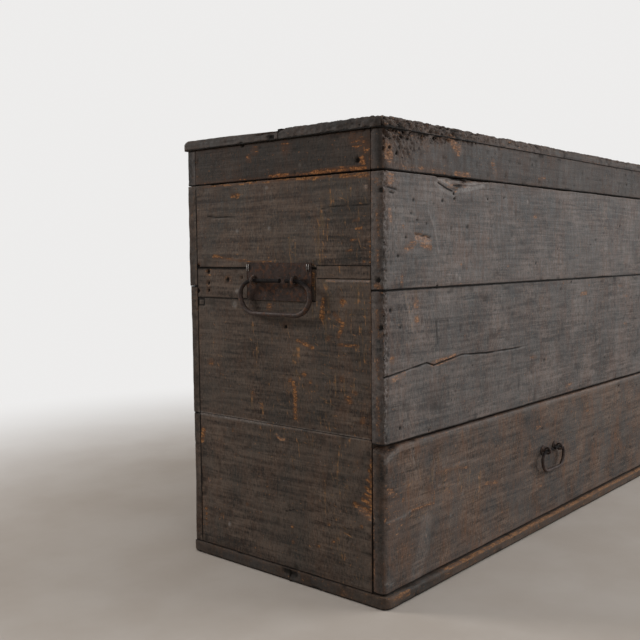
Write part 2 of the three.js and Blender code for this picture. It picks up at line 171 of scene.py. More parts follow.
@dataclass(frozen=True)
class Splinter:
    """Wood torn out of the top edge of a side, in ledges that step down into the board.

    Attributes:
        side: The side that it is torn from.
        line: Its lower limit, in millimetres across and up the side.
        ledges: Depth of each ledge, from the lowest up.
    """

    side: Side
    line: tuple[Point, ...]
    ledges: tuple[float, ...] = (0.7, 1.4, 2.3, 5.4)


@dataclass(frozen=True)
class Knock:
    """A corner of a board that is worn off flat, with the flat's reach from each of its three sides."""

    sides: tuple[Side, Side, Side]
    reach: tuple[float, float, float]
    softness: float = 0.12


@dataclass(frozen=True)
class Crack:
    """A crack that follows the grain on a side. One row of the board's mesh is bent to run along it."""

    side: Side
    line: tuple[Point, ...]
    width: float
    depth: float
    reach: float = 45.0


@dataclass(frozen=True)
class Pocket:
    """A recess with square walls in a side, between two corners in millimetres across and up the side."""

    side: Side
    low: Point
    high: Point
    depth: float


def distance_to_line(places: Array, line: Sequence[Point]) -> Array:
    """How far flat places lie from a line.

    Args:
        places: Points on a side, one to a row.
        line: The line's points in order. One point alone is a spot.

    Returns:
        The distance of each place.
    """
    points = np.array(line, float)
    nearest = np.linalg.norm(places - points[0], axis=1)
    for start, end in zip(points[:-1], points[1:], strict=True):
        along = end - start
        share = np.clip((places - start) @ along / max(along @ along, TINY), 0, 1)
        foot = start + share[:, None] * along
        nearest = np.minimum(nearest, np.linalg.norm(places - foot, axis=1))
    return nearest


def spot(across: float, up: float, radius: float, **effects: float) -> Mark:
    """A mark around one place."""
    return Mark(((across, up),), radius, **effects)


def marks(effect: str, *rows: tuple) -> tuple[Mark, ...]:
    """Marks that only colour the wood.

    Args:
        effect: Name of the effect that they all show.
        rows: For each mark how much of the effect it shows, its radius and the places that its line joins.

    Returns:
        One mark for each row.
    """
    return tuple(Mark(tuple(line), radius, **{effect: share}) for share, radius, *line in rows)


def dents(*rows: tuple) -> tuple[Mark, ...]:
    """Dents and fine cracks, darkened inside with grime and painted shade.

    Args:
        rows: For each its depth, how dark it is, its radius and the places that its line joins.

    Returns:
        One mark for each row.
    """
    return tuple(Mark(tuple(line), radius, depth=depth, dark=dark) for depth, dark, radius, *line in rows)


def nail_hole(across: float, up: float, radius: float = 3.2) -> tuple[Mark, Mark]:
    """An old nail hole: a pit darkened with painted shade, with rubbed wood round it."""
    return spot(across, up, radius, depth=3.0, dark=1.0), spot(across, up, radius * 2.2, bare=0.35)


LEFT_END_MARKS: tuple[Mark, ...] = (
    # Lid: the lower edge is rubbed through to bare wood, and the seam under the top is chipped.
    *marks("bare", (0.35, 2, (150, 573), (20, 573)), (0.85, 3, (12, 574), (-24, 574)),
           (0.9, 2.2, (-24, 573), (-90, 574)), (1, 3.4, (-70, 574), (-120, 575), (-158, 574)),
           (1, 6, (-153, 584)), (0.45, 9, (-160, 600), (-140, 612)), (0.45, 8, (40, 613)),
           (0.55, 6, (52, 603)), (0.35, 10, (-20, 612))),
    *marks("scratch", (0.6, 9, (-152, 596))),
    *marks("dark", (0.3, 11, (-60, 637), (185, 633)), (0.85, 1.5, (-188, 623.8), (188, 623.8)),
           (0.44, 12, (180, 620), (180, 576))),
    *marks("eaten", (0.2, 11, (-60, 637), (185, 633))),
    *dents((3, 1, 4.5, (-146, 585))),
    spot(-46, 586, 2.6, pale=1.0, depth=0.5),
    *dents((4, 0.9, 7, (4, 628)), (2, 1, 5, (64, 623))),
    Mark(((-10, 641), (30, 640)), 9, depth=2.0, rough=1.0),
    Mark(((-188, 633), (-60, 637)), 13, rough=1.6, eaten=0.4, dark=0.3),
    # Upper board: a rubbed top edge, two fine cracks, a few dents and upright scratches.
    *marks("bare", (0.6, 2, (150, 568), (-120, 568)), (0.85, 3.6, (-118, 567), (-162, 565)),
           (0.8, 2.6, (-40, 568), (-90, 567)), (0.9, 3, (-159, 550)), (0.8, 2.4, (-155, 455)),
           (0.8, 1.8, (124, 463), (96, 459), (60, 456)), (1, 2.6, (130, 463), (118, 463)),
           (0.75, 1.8, (57, 455.5), (10, 455.5)), (0.5, 1.5, (-92, 429.9), (-163, 429.9))),
    *marks("scratch", (0.42, 52, (-105, 520), (-110, 452)), (0.72, 9, (-78, 535), (-82, 455)),
           (0.6, 9, (-152, 530), (-150, 455)), (0.7, 8, (-30, 490), (-33, 455)),
           (0.36, 24, (30, 480), (10, 455))),
    *marks("dark", (0.42, 2.6, (-69.6, 456), (-69.6, 400))),
    *marks("pale", (0.8, 3, (-159, 550)), (0.9, 1.5, (-92, 429.9), (-163, 429.9))),
    *dents((0.6, 0.7, 1.6, (141, 523), (110, 521), (81, 520)),
           (0.5, 0.6, 1.5, (-85, 526), (-128, 529), (-165, 527))),
    Mark(((88, 551), (74, 551)), 3.2, bare=1.0, depth=0.5),
    *(spot(y, z, 2.6, pale=0.75) for y, z in ((17, 559), (13, 502), (78, 500))),
    *(Mark(((y, z), (y - 9, z + 1)), 1.6, bare=0.75)
      for y, z in ((-139, 508), (-134, 483), (-127, 469), (-143, 497))),
    # Old nail holes near the back edge and under the handle.
    *marks("bare", (0.85, 6, (15, 391))),
    *marks("pale", (1, 3.2, (81, 412)), (0.55, 5, (86, 392))),
    *(mark for place in ((164, 449, 3), (142, 440, 4), (142, 423), (165, 411), (142, 412),
                         (100, 429, 4.2), (70, 432, 2.4), (-16, 364, 3.6))
      for mark in nail_hole(*place)),
    *dents((0.8, 0.8, 1.8, (153, 399), (165, 399), (165, 389), (153, 389), (153, 399))),
    # Middle board: long upright scratches that show bare wood, thickest towards the front.
    *marks("bare", (0.55, 4, (33, 246)), (0.5, 5, (50, 262)), (0.9, 4, (-50, 300)), (0.7, 3, (-62, 290)),
           (0.6, 4, (-118, 300)), (0.95, 3.2, (-86, 404), (-82, 380)), (0.9, 4.5, (-84, 381)),
           (0.7, 4, (-68, 441), (-68, 424)), (0.85, 3.2, (-106, 385), (-120, 372), (-112, 356)),
           (0.8, 3.5, (-94, 352)), (0.8, 3, (-38, 346), (-66, 338)), (0.75, 6, (139, 303)),
           (1, 3.2, (-29, 287), (-33, 275), (-33, 236)), (0.8, 4, (-24, 290)), (0.6, 6, (-130, 272)),
           (0.75, 4, (-140, 282)), (0.7, 2, (-112, 345), (-142, 345))),
    *marks("scratch", (0.45, 58, (-115, 410), (-118, 260)), (0.8, 10, (-92, 430), (-90, 370)),
           (0.68, 14, (-150, 425), (-152, 330)), (0.72, 9, (-68, 428), (-64, 380)),
           (0.72, 10, (-35, 330), (-34, 240)), (0.36, 42, (-10, 380), (-20, 260)),
           (0.6, 9, (48, 358), (44, 300)), (0.62, 12, (52, 272), (40, 240)),
           (0.42, 16, (125, 330), (118, 290))),
    spot(-120, 402, 5, bare=0.9, depth=1.0),
    spot(-152, 247, 4.5, bare=1.0, depth=0.8),
    # Lower board: the pale seam, the rubbed front edge with its chip, and a fine curved crack.
    *marks("bare", (0.85, 2.6, (-166, 196), (-166, 125)), (0.75, 2.4, (-168, 108), (-168, 34)),
           (0.85, 5, (160, 196), (164, 180)), (0.9, 2.2, (4, 209), (-4, 202), (-12, 204)),
           (1, 2.6, (148, 118))),
    *marks("scratch", (0.7, 9, (-33, 205), (-35, 160)), (0.4, 16, (40, 215), (-120, 205)),
           (0.3, 12, (120, 70), (60, 50)), (0.45, 34, (-110, 180), (-125, 50))),
    *marks("pale", (0.75, 2.6, (168, 222), (20, 222)), (0.45, 2.2, (20, 222), (-162, 223)),
           (0.4, 2.2, (4, 209), (-4, 202), (-12, 204)), (0.5, 2.6, (148, 118)), (0.8, 2.8, (105, 58))),
    *(Mark(((y, z), (-166, z - drop)), 2.4, bare=1.0)
      for y, z, drop in ((-162, 182, 5), (-159, 170, 4), (-157, 159, 6), (-155, 150, 6), (-151, 143, 6))),
    Mark(((-138, 133), (-166, 126)), 3.6, depth=1.4, bare=1.0),
    Mark(((-146, 129), (-166, 119)), 4.6, depth=1.8, bare=1.0, pale=0.3),
    *dents((0.4, 0.6, 1.4, (-12, 100), (-28, 105)), (0.3, 0.4, 1.1, (-28, 105), (-83, 113), (-113, 111))),
    *(spot(y, z, 2.8, bare=0.7) for y, z in (
        (66, 96), (122, 69), (-25, 80), (-93, 97), (-149, 105), (-26, 58), (-74, 62), (-101, 75), (94, 204),
    )),
    *(spot(157, z, 2.8, bare=0.8) for z in (73, 64, 56, 48)),
    # Base: a chipped seam between its two boards and a dented nose.
    *marks("bare", (0.5, 6, (-120, 8))),
    *marks("dark", (0.28, 12, (188, 9), (-188, 9))),
    *dents((2, 0.6, 7, (-12, 14), (-32, 12))),
    # The front and back boards' end grain: dull, with a nibbled arris and chips beside the joint.
    *marks("scratch", (0.3, 15, (-181, 566), (-181, 222)), (0.2, 15, (180, 636), (180, 22))),
    # This darkening brings the end grain to the end boards' tone, which is partly painted shade.
    *marks("dark", (0.3, 15, (-181, 566), (-181, 222)), (0.32, 13, (-181, 622), (-181, 575)),
           (0.28, 15, (180, 636), (180, 22)), (0.85, 1.7, (166.8, 566), (166.8, 24)),
           (0.36, 13, (-178, 205), (-178, 28))),
    *dents((0.6, 1, 2, (-167.2, 122), (-167.2, 20))),
    *(Mark(((-176, z), (-179, z - drop)), 2.4, bare=0.75)
      for z, drop in ((560, 8), (520, 30), (470, 22), (392, 34), (330, 26), (280, 30), (246, 14))),
    Mark(((-185, 566), (-184, 500), (-186, 420), (-184, 330), (-185, 225)), 4, rough=1.5, eaten=0.4),
    *dents((3.5, 1, 4.6, (-178, 431))),
    Mark(((-176, 424), (-184, 419)), 4.5, bare=1.0, depth=1.2),
    *dents((1.6, 0.8, 5, (-183, 545)), (1.8, 0.9, 5, (-182, 370))),
)

FRONT_MARKS: tuple[Mark, ...] = (
    # Lid: the near corner is eaten away, rough and pitted, and the top edge is worn along its length.
    *marks("bare", (0.9, 8, (-456, 586), (-458, 602)), (0.75, 9, (-310, 622), (-292, 610)),
           (0.35, 12, (-372, 612)), (0.85, 4, (-300, 576), (-262, 576)),
           (0.5, 6, (-196, 600), (-186, 582))),
    *marks("dark", (0.85, 1.7, (-470, 624), (-424, 623))),
    *marks("eaten", (0.35, 12, (-448, 560), (-452, 470))),
    Mark(((-470, 632), (-400, 630), (-330, 635)), 22, rough=3.2, eaten=1.0, bare=0.3),
    Mark(((-330, 635), (-200, 637), (-60, 639)), 13, rough=2.2, eaten=0.8, bare=0.25),
    Mark(((-60, 640), (470, 640)), 9, rough=1.4, eaten=0.6, bare=0.2),
    Mark(((-466, 612), (-420, 606)), 26, rough=2.0, eaten=0.8, bare=0.2),
    Mark(((-400, 622), (-250, 624)), 7, rough=1.2, eaten=0.7),
    Mark(((-466, 566), (-465, 500), (-467, 430), (-465, 340), (-467, 225)), 4.5, rough=2.0, eaten=0.7),
    *(spot(x, z, r, depth=2.4, dark=1.0) for x, z, r in (
        (-428, 614, 3), (-433, 601, 3.4), (-467, 597, 3), (-455, 599, 3.2), (-439, 593, 2.6),
        (-394, 611, 2.2), (-389, 603, 2.4), (-412, 619, 2.4), (-446, 621, 3), (-376, 622, 2.6),
        (-350, 628, 3.2), (-298, 629, 3),
    )),
    Mark(((-450, 577), (-330, 575)), 5, bare=0.4, rough=0.5),
    # Upper board: a gouge, dents and old worm holes near the corner, and the split under the lid.
    *marks("bare", (1, 4.2, (-384, 477), (-363, 473)), (0.9, 3.6, (-456, 520), (-454, 507)),
           (0.5, 3, (-430, 436), (-430, 424)), (0.8, 9, (-455, 560))),
    *marks("scratch", (0.3, 12, (-440, 468), (-425, 430))),
    *marks("pale", (0.3, 3.6, (-456, 520), (-454, 507)),
           (0.6, 1.6, (-368, 523), (-352, 500), (-343, 467)), (0.9, 1.6, (-344, 566), (-321, 564)),
           (0.55, 2.4, (-352, 560), (-330, 551), (-304, 544)),
           (0.85, 2.6, (-294, 552), (-262, 556), (-221, 563))),
    Mark(((-400, 491), (-380, 488), (-364, 486)), 1.5, depth=1.8, dark=0.5, bare=0.9),
    Mark(((-396, 485), (-364, 481)), 4.2, bare=1.0, depth=0.6, pale=0.5),
    Mark(((-420, 470), (-402, 478)), 5, bare=0.75, rough=0.4),
    *(spot(x, z, r, depth=1.8, dark=0.8) for x, z, r in (
        (-403, 535, 3), (-408, 518, 2.8), (-394, 509, 2.6), (-420, 486, 2.8), (-333, 537, 3.4),
        (-302, 541, 3), (-267, 502, 3), (-372, 505, 2.4), (-210, 544, 2.4), (-160, 548, 2.2),
        (-438, 462, 3), (-346, 419, 3.4),
    )),
    *dents((1.6, 0.6, 1.8, (-460, 549), (-443, 547)), (1.4, 0.6, 1.6, (-456, 543), (-448, 542))),
    *(spot(x, z, 2.8, pale=0.9, bare=0.4) for x, z in ((-296, 433), (-287, 429), (-85, 545))),
    *(spot(x, z, 3, bare=0.7) for x, z in ((-208, 487), (-284, 449), (-147, 444), (-427, 500), (-410, 476))),
    *dents((1.5, 0.9, 1.3, (-344, 561), (-322, 554), (-308, 551)), (2.5, 1, 3, (-304, 548))),
    # Middle board: dents, bare spots, a long light scratch and bare wood beside the crack.
    *marks("bare", (0.75, 8, (-397, 397)), (1, 5.5, (-396, 377)), (0.85, 4.5, (-358, 313), (-300, 318)),
           (0.75, 4, (-452, 302), (-425, 306)), (0.8, 6, (-452, 328)), (0.5, 4, (-330, 288))),
    *marks("scratch", (0.95, 2.6, (-422, 415), (-404, 363)), (0.45, 10, (-402, 415), (-398, 340))),
    *marks("pale", (0.35, 2.6, (-422, 415), (-404, 363)), (0.35, 4, (-452, 302), (-425, 306))),
    *(spot(x, z, r, depth=1.8, dark=0.85) for x, z, r in (
        (-455, 392, 4), (-433, 369, 2.8), (-434, 236, 3.6), (-366, 222, 2.6), (-250, 300, 2.4),
        (-300, 268, 2.2),
    )),
    *dents((0.8, 0.6, 2, (-349, 372), (-345, 340))),
    # Drawer front: rubbed spots, long crossing scratches, a dull blue-grey smear, a painted highlight on top.
    *marks("bare", (0.7, 1.8, (-450, 152), (-436, 144)), (0.8, 1.6, (-410, 118), (-354, 118)),
           (0.8, 1.8, (-352, 133), (-354, 116)), (0.7, 2, (-348, 159), (-300, 156), (-265, 151)),
           (0.4, 1.8, (-343, 139), (-284, 130)), (0.3, 1.2, (-332, 164), (-204, 156)),
           (0.5, 1.3, (-108, 111), (-60, 106)), (0.9, 2.8, (-211, 115), (-177, 110)),
           (0.4, 1.3, (-430, 185), (-418, 165)), (0.3, 1.3, (-352, 176), (-356, 150)),
           (0.6, 1.2, (-300, 150), (-286, 166)), (0.6, 1.2, (-318, 128), (-300, 118)),
           (0.28, 22, (-463, 140), (-440, 100), (-416, 60)), (0.16, 26, (-330, 60), (-280, 40)),
           (0.25, 3, (-450, 215), (-200, 214))),
    *marks("scratch", (0.55, 30, (-340, 160), (-240, 118)), (0.4, 24, (-400, 150), (-380, 110))),
    *marks("pale", (0.6, 1.6, (-463, 115), (-410, 118)), (0.4, 1.8, (-343, 139), (-284, 130)),
           (0.35, 1.2, (-332, 164), (-204, 156)), (0.3, 1.3, (-108, 111), (-60, 106)),
           (0.3, 1.3, (-409, 204), (-395, 161)), (0.25, 1.3, (-430, 185), (-418, 165)),
           (0.3, 1.3, (-352, 176), (-356, 150)), (0.28, 13, (-373, 96), (-380, 60), (-399, 26)),
           # The last two make a painted highlight along the top edge and its knocked left corner.
           (0.5, 1.8, (-470, 36), (-451, 31)), (0.5, 3.4, (-467, 196), (-450, 204), (-432, 209)),
           (0.32, 3.6, (-432, 209), (-200, 211), (470, 211))),
    Mark(((-461, 158), (-453, 156)), 3.0, bare=1.0, depth=0.7),
    spot(-428, 138, 3.0, bare=1.0, depth=0.7),
    *(spot(x, z, 2.4, bare=0.8) for x, z in ((-248, 34), (-373, 76), (-466, 118), (-160, 60), (-230, 70))),
    *(spot(x, z, 2.4, pale=0.7) for x, z in ((-278, 114), (-310, 90), (-372, 76))),
    *(spot(x, z, r, depth=1.4, dark=0.8)
      for x, z, r in ((-400, 190, 2.4), (-250, 90, 2.6), (-180, 168, 2.4))),
    # Base: its upper edge is rubbed along the whole front.
    *marks("bare", (0.95, 1.9, (-320, 15.8), (470, 15.8)), (0.25, 8, (-330, 9), (470, 9)),
           (0.75, 6, (-455, 16), (-425, 14))),
    *marks("dark", (0.4, 4.5, (-440, 1), (470, 1))),
)

TOP_MARKS: tuple[Mark, ...] = (
    *marks("scratch", (0.3, 40, (-300, 60), (-120, 90)), (0.3, 44, (80, -60), (320, -90))),
    *marks("dark", (0.2, 12, (-472, -10), (-472, 180))),
    *marks("pale", (0.12, 40, (-300, 60), (-120, 90)), (0.14, 44, (80, -60), (320, -90))),
    *marks("eaten", (0.3, 12, (-472, -10), (-472, 180))),
    Mark(((-470, -185), (-330, -186), (470, -186)), 12, rough=1.6, eaten=0.75, bare=0.25),
    Mark(((-472, -180), (-472, -10)), 12, rough=1.5, eaten=0.35, dark=0.25),
    Mark(((472, -180), (472, 180)), 9, rough=0.9, eaten=0.4),
    Mark(((-460, -180), (-420, -150)), 26, rough=1.4, eaten=0.9),
)


def scattered(low: Point, high: Point, seed: int, dented: int, scratched: int,
              rubbed: int) -> tuple[Mark, ...]:
    """Everyday wear on a part of a side that nothing records more closely.

    Args:
        low: Lower corner of the part.
        high: Upper corner of the part.
        seed: Seed of the draw.
        dented: Number of dents.
        scratched: Number of upright scratches.
        rubbed: Number of rubbed spots.

    Returns:
        The marks, in the same order each time.
    """
    draw = np.random.default_rng(seed)
    found = []
    for across, up in draw.uniform(low, high, (dented, 2)):
        found.append(spot(across, up, draw.uniform(2, 3.6), depth=draw.uniform(0.8, 2), dark=0.8))
    for start in draw.uniform(low, high, (scratched, 2)):
        line = (start, start + draw.uniform((-12, -70), (12, 70)))
        found.append(Mark(line, draw.uniform(6, 15), scratch=draw.uniform(0.25, 0.5)))
    for start in draw.uniform(low, high, (rubbed, 2)):
        line = (start, start + draw.uniform((-24, -3), (24, 3)))
        found.append(Mark(line, draw.uniform(1.5, 4), bare=draw.uniform(0.4, 0.9)))
    return tuple(found)


SIDE_MARKS: dict[Side, tuple[Mark, ...]] = {
    LEFT: LEFT_END_MARKS,
    FRONT: FRONT_MARKS + scattered((-70, 30), (465, 620), seed=3, dented=34, scratched=30, rubbed=22),
    RIGHT: scattered((-180, 25), (180, 620), seed=4, dented=26, scratched=34, rubbed=16),
    BACK: scattered((-465, 25), (465, 620), seed=5, dented=36, scratched=24, rubbed=18),
    TOP: TOP_MARKS + scattered((-465, -185), (465, 185), seed=6, dented=40, scratched=30, rubbed=24),
    BOTTOM: (),
}
EFFECTS = ("bare", "scratch", "dark", "pale", "eaten")


def mesh_piece(name: str, points: Array, faces: list, sharp: float = 180.0) -> bpy.types.Object:
    """Makes a smooth mesh object and puts it in the scene.

    Args:
        name: Its name.
        points: Its points, one to a row.
        faces: Lists of the points' indices.
        sharp: Angle in degrees past which an edge stays sharp.

    Returns:
        The object, with no material yet.
    """
    mesh = bpy.data.meshes.new(name)
    mesh.from_pydata(np.asarray(points).tolist(), [], faces)
    mesh.shade_smooth()
    if sharp < 180.0:
        mesh.set_sharp_from_angle(angle=math.radians(sharp))
    piece = bpy.data.objects.new(name, mesh)
    bpy.context.scene.collection.objects.link(piece)
    return piece


@dataclass
class Plank:
    """One worn board, which stands for a board of the frame and fills the same box.

    Its step, rim, roundings, wear, relief, raggedness and swell are given in millimetres and kept in metres.

    Attributes:
        piece: Name of the piece.
        node: The frame's board that it stands for.
        body: The body that it moves with.
        grain: Direction of its grain.
        shown: Sides with a fine mesh, wear and marks. The others stay flat.
        finish: Key of its material.
        step: Grid step on the shown sides.
        rim: Width of the finer mesh along every edge, and so the widest rounding.
        arris: Rounding of its level edges.
        edges: Another rounding for some of them, by upright side and by TOP or BOTTOM.
        corners: Pairs of sides whose shared edge is rounded, with the radius.
        wear: How far the rounding grows where the edge is worn.
        relief: How deep the surface waves.
        nicked: How deep its scattered nicks are, as a share of the relief.
        rub: How much bare wood shows along its edges, from 0 to 1.
        ragged: How deep its edges are nibbled away.
        grimy: How dark its joints with its neighbours are, from 0 to 1.
        pockets: Recesses in its sides.
        cracks: Cracks that its mesh follows.
        splinters: Places where wood is torn out of it.
        knocks: Corners that are worn off flat.
        dense: Stretches with their own grid step: axis, start, end and step.
        marked: Sides whose marks apply to it.
        own_marks: Marks that it alone has, with their sides.
        swell: How far its top rises towards its back edge.
        clean: Sides where its joint with its neighbour holds no grime.
        lined: Whether its hidden sides show raw wood.
        seed: Makes its grain and wear its own.
    """

    piece: str
    node: str
    body: str
    grain: Grain
    shown: tuple[Side, ...]
    finish: str = "outer"
    step: float = 3
    rim: float = 3
    arris: float = 1.5
    edges: dict[tuple[Side, Side], float] = field(default_factory=dict)
    corners: tuple[tuple[Side, Side, float], ...] = ()
    wear: float = 1.0
    relief: float = 0.45
    nicked: float = 1.0
    rub: float = 0.3
    ragged: float = 0.0
    grimy: float = 0.9
    pockets: tuple[Pocket, ...] = ()
    cracks: tuple[Crack, ...] = ()
    splinters: tuple[Splinter, ...] = ()
    knocks: tuple[Knock, ...] = ()
    dense: tuple[tuple[int, float, float, float], ...] = ()
    marked: tuple[Side, ...] = tuple(Side)
    own_marks: tuple[tuple[Side, Mark], ...] = ()
    swell: float = 0.0
    clean: tuple[Side, ...] = ()
    lined: bool = True
    seed: int = 1

    # Where the mesh lines of the rim lie in it, and how close two lines may come.
    EDGE_SHARES = (0.0, 0.07, 0.18, 0.34, 0.54, 0.77, 1.0)
    CLOSEST = 0.12 * MM
    # How near a side a point lies on it.
    TOUCH = 0.001 * MM
    # Width of a recess's wall, and how much of the surface's waves its floor keeps.
    WALL = 0.25 * MM
    FLATTENED = 0.04
    # How far hidden sides and joints are dark, and how much grime an upright joint holds.
    SEAM = 3.0 * MM
    JOINT = 1.55 * MM
    UPRIGHT_GRIME = 0.08
    # Angle past which an edge stays sharp.
    SHARP = 55.0
    # Wavelengths of the surface's waves, fibres, crumbs and nicks.
    WAVE_LENGTH = 0.3
    WAVE_WIDTH = 0.05
    FIBRE_WIDTH = 0.009
    CRUMB = (5 * MM, 4 * MM, 4 * MM)
    NICK = (11 * MM, 11 * MM, 8 * MM)
    # How far each step of the seed shifts the grain.
    SEED_SHIFT = (0.613, 0.271, 0.117)

    def __post_init__(self) -> None:
        """Turns the board's own lengths into metres."""
        for name in ("step", "rim", "arris", "wear", "relief", "ragged", "swell"):
            setattr(self, name, getattr(self, name) * MM)
        self.edges = {edge: radius * MM for edge, radius in self.edges.items()}
        self.corners = tuple((one, other, radius * MM) for one, other, radius in self.corners)

    def make(self) -> bpy.types.Object:
        """Builds the board and puts it in the place of its node.

        Returns:
            The finished piece, without its material.
        """
        self.low, self.high = (np.array(corner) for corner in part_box(self.node))
        self.lines = [self._lines(axis) for axis in range(3)]
        self._shell()
        self.start = self.points.copy()
        self.inside = self._depths()
        self._bend_to_cracks()
        self._round()
        share, height = ((self.points - self.low) / (self.high - self.low))[:, 1:].T
        self.points[:, 2] += self.swell * height * share * share * (3 - 2 * share)
        normals = self._normals()
        self._wear()
        self.points = self.points - normals * self.depth[:, None]
        for knock in self.knocks:
            self._knock_off(knock)
        self._cut_pockets()
        for splinter in self.splinters:
            self._tear(splinter)
        piece = mesh_piece(self.piece, self.points, self.faces, self.SHARP)
        self._store(piece.data)
        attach(piece, self.body)
        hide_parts(self.node)
        return piece

    def _lines(self, axis: int) -> Array:
        """The grid lines along one axis: close near both ends, then even.

        Args:
            axis: 0, 1 or 2.

        Returns:
            Their places in rising order.
        """
        low, high = self.low[axis], self.high[axis]
        rim = min(self.rim, (high - low) * 0.45)
        near = rim * np.array(self.EDGE_SHARES)
        fine = any(axis in side.across for side in self.shown)
        step = self.step if fine else high - low
        count = max(1, round((high - low - 2 * rim) / step))
        middle = np.linspace(low + rim, high - rim, count + 1)[1:-1]
        wanted = []
        for at_axis, start, end, spacing in self.dense:
            if at_axis == axis:
                wanted.extend(np.arange(start, end, spacing) * MM)
                middle = middle[(middle < start * MM) | (middle > end * MM)]
        for pocket in self.pockets:
            if axis in pocket.side.across:
                index = pocket.side.across.index(axis)
                for edge, inward in ((pocket.low[index] * MM, 1), (pocket.high[index] * MM, -1)):
                    wanted += [edge, edge + inward * self.WALL]
        for crack in self.cracks:
            if axis == crack.side.across[1]:
                level = np.mean([place[1] for place in crack.line]) * MM
                wanted += [level + share * crack.width * MM for share in (-1.0, -0.5, 0.0, 0.5, 1.0)]
        wanted = [place for place in wanted if low + self.CLOSEST < place < high - self.CLOSEST]
        plain = np.concatenate([low + near, middle, high - near])
        if wanted:
            gap = np.abs(plain[:, None] - np.array(wanted)).min(1)
            plain = plain[(gap > self.CLOSEST * 2) | (plain <= low) | (plain >= high)]
        return np.unique(np.round(np.concatenate([plain, wanted]), 7))

    def _shell(self) -> None:
        """Lays the box's surface on the grid lines. A side that isn't shown is flat inside its rim."""
        shape = tuple(len(line) for line in self.lines)
        inner = []
        for line, count in zip(self.lines, shape, strict=True):
            first = int(np.searchsorted(line, line[0] + self.rim - 1e-6))
            last = int(np.searchsorted(line, line[-1] - self.rim + 1e-6, side="right")) - 1
            inner.append((first, last) if first < last else (1, count - 2))
        used = np.zeros(shape, bool)
        index = np.full(shape, -1)
        plans = []
        for side in Side:
            u, v = side.across
            keep = np.ones((shape[u], shape[v]), bool)
            hollow = side not in self.shown and all(last - first > 1 for first, last in (inner[u], inner[v]))
            if hollow:
                keep[inner[u][0] + 1:inner[u][1], inner[v][0] + 1:inner[v][1]] = False
            place = [slice(None)] * 3
            place[side.axis] = 0 if side.sign < 0 else shape[side.axis] - 1
            used[tuple(place)] |= keep
            plans.append((side, tuple(place), hollow))
        index[used] = np.arange(used.sum())
        self.points = np.stack(np.meshgrid(*self.lines, indexing="ij"), -1)[used]
        self.faces = []
        for side, place, hollow in plans:
            ids = index[place]
            quads = np.stack([ids[:-1, :-1], ids[1:, :-1], ids[1:, 1:], ids[:-1, 1:]], -1).reshape(-1, 4)
            turned = (side.axis == 1) == (side.sign > 0)
            order = -1 if turned else 1
            if hollow:
                (a, b), (c, d) = (inner[axis] for axis in side.across)
                cells = np.ones((ids.shape[0] - 1, ids.shape[1] - 1), bool)
                cells[a:b, c:d] = False
                quads = quads[cells.reshape(-1)]
                ring = [*ids[a:b, c], *ids[b, c:d], *ids[b:a:-1, d], *ids[a, d:c:-1]]
            self.faces += quads[:, ::order].tolist()
            if hollow:
                self.faces.append([int(i) for i in ring][::order])

    def _bend_to_cracks(self) -> None:
        """Shifts the rows near each crack so that its own rows follow it."""
        for crack in self.cracks:
            u, v = crack.side.across
            line = np.array(crack.line) * MM
            level = line[:, 1].mean()
            target = np.interp(self.points[:, u], line[:, 0], line[:, 1]) - level
            fade = np.clip(1 - np.abs(self.points[:, v] - level) / (crack.reach * MM), 0, 1)
            self.points[:, v] += np.where(self._on(crack.side), target * fade * fade * (3 - 2 * fade), 0)

    def _face(self, side: Side) -> float:
        """Where the box's side lies along its axis."""
        return (self.low if side.sign < 0 else self.high)[side.axis]

    def _depths(self) -> dict[Side, Array]:
        """How far each point lies inside each side."""
        return {side: (self._face(side) - self.points[:, side.axis]) * side.sign for side in Side}

    def _on(self, side: Side) -> Array:
        """Which points started on a side."""
        return np.abs(self.inside[side]) < self.TOUCH

    def _round(self) -> None:
        """Rounds the level edges by the arris, and then the named corners."""
        inside = self._depths()
        level = inside[TOP] < inside[BOTTOM]
        weights = np.stack([1 / (inside[side] + 0.3 * MM) ** 2 for side in UPRIGHT])
        radii = np.stack([np.where(level, *(self.edges.get((side, end), self.arris) for end in (TOP, BOTTOM)))
                          for side in UPRIGHT])
        radius = (weights * radii).sum(0) / weights.sum(0)
        uneven = NOISE.even(self.points + self.seed, 60) + 0.6 * NOISE.even(self.points - self.seed, 17)
        wear = self.wear * np.minimum(radius / self.arris, 1.0)
        radius = np.clip(radius + wear * uneven, 0.35 * radius, self.rim)
        outward = np.zeros_like(self.points)
        for side in Side:
            outward[:, side.axis] += np.maximum(radius - inside[side], 0) * side.sign
        flat = np.abs(outward[:, :2]).max(1)
        rise = np.abs(outward[:, 2])
        share = self._arc_share(flat, rise)
        self.points -= outward * (1 - share)[:, None]
        for one, other, radius in self.corners:
            corner = radius * np.clip(0.8 + 0.3 * uneven, 0.45, 1.0)
            inside = self._depths()
            over = [np.maximum(corner - inside[side], 0) for side in (one, other)]
            share = self._arc_share(*over)
            for side, amount in zip((one, other), over, strict=True):
                self.points[:, side.axis] -= side.sign * amount * (1 - share)

    @staticmethod
    def _arc_share(one: Array, other: Array) -> Array:
        """What brings a point of a square edge onto the arc, from how far it lies past the arc's two ends."""
        round_share = np.maximum(one, other) / np.maximum(np.hypot(one, other), TINY)
        return np.where(np.minimum(one, other) > 0, round_share, 1.0)

    def _normals(self) -> Array:
        """The outward direction at each point, from the four-sided faces round it.

        Returns:
            One direction for each point.
        """
        quads = np.array([face for face in self.faces if len(face) == 4])
        a, b, c, d = (self.points[quads[:, i]] for i in range(4))
        across = np.cross(c - a, d - b)
        total = np.zeros_like(self.points)
        for i in range(4):
            np.add.at(total, quads[:, i], across)
        return total / np.maximum(np.linalg.norm(total, axis=1, keepdims=True), 1e-15)

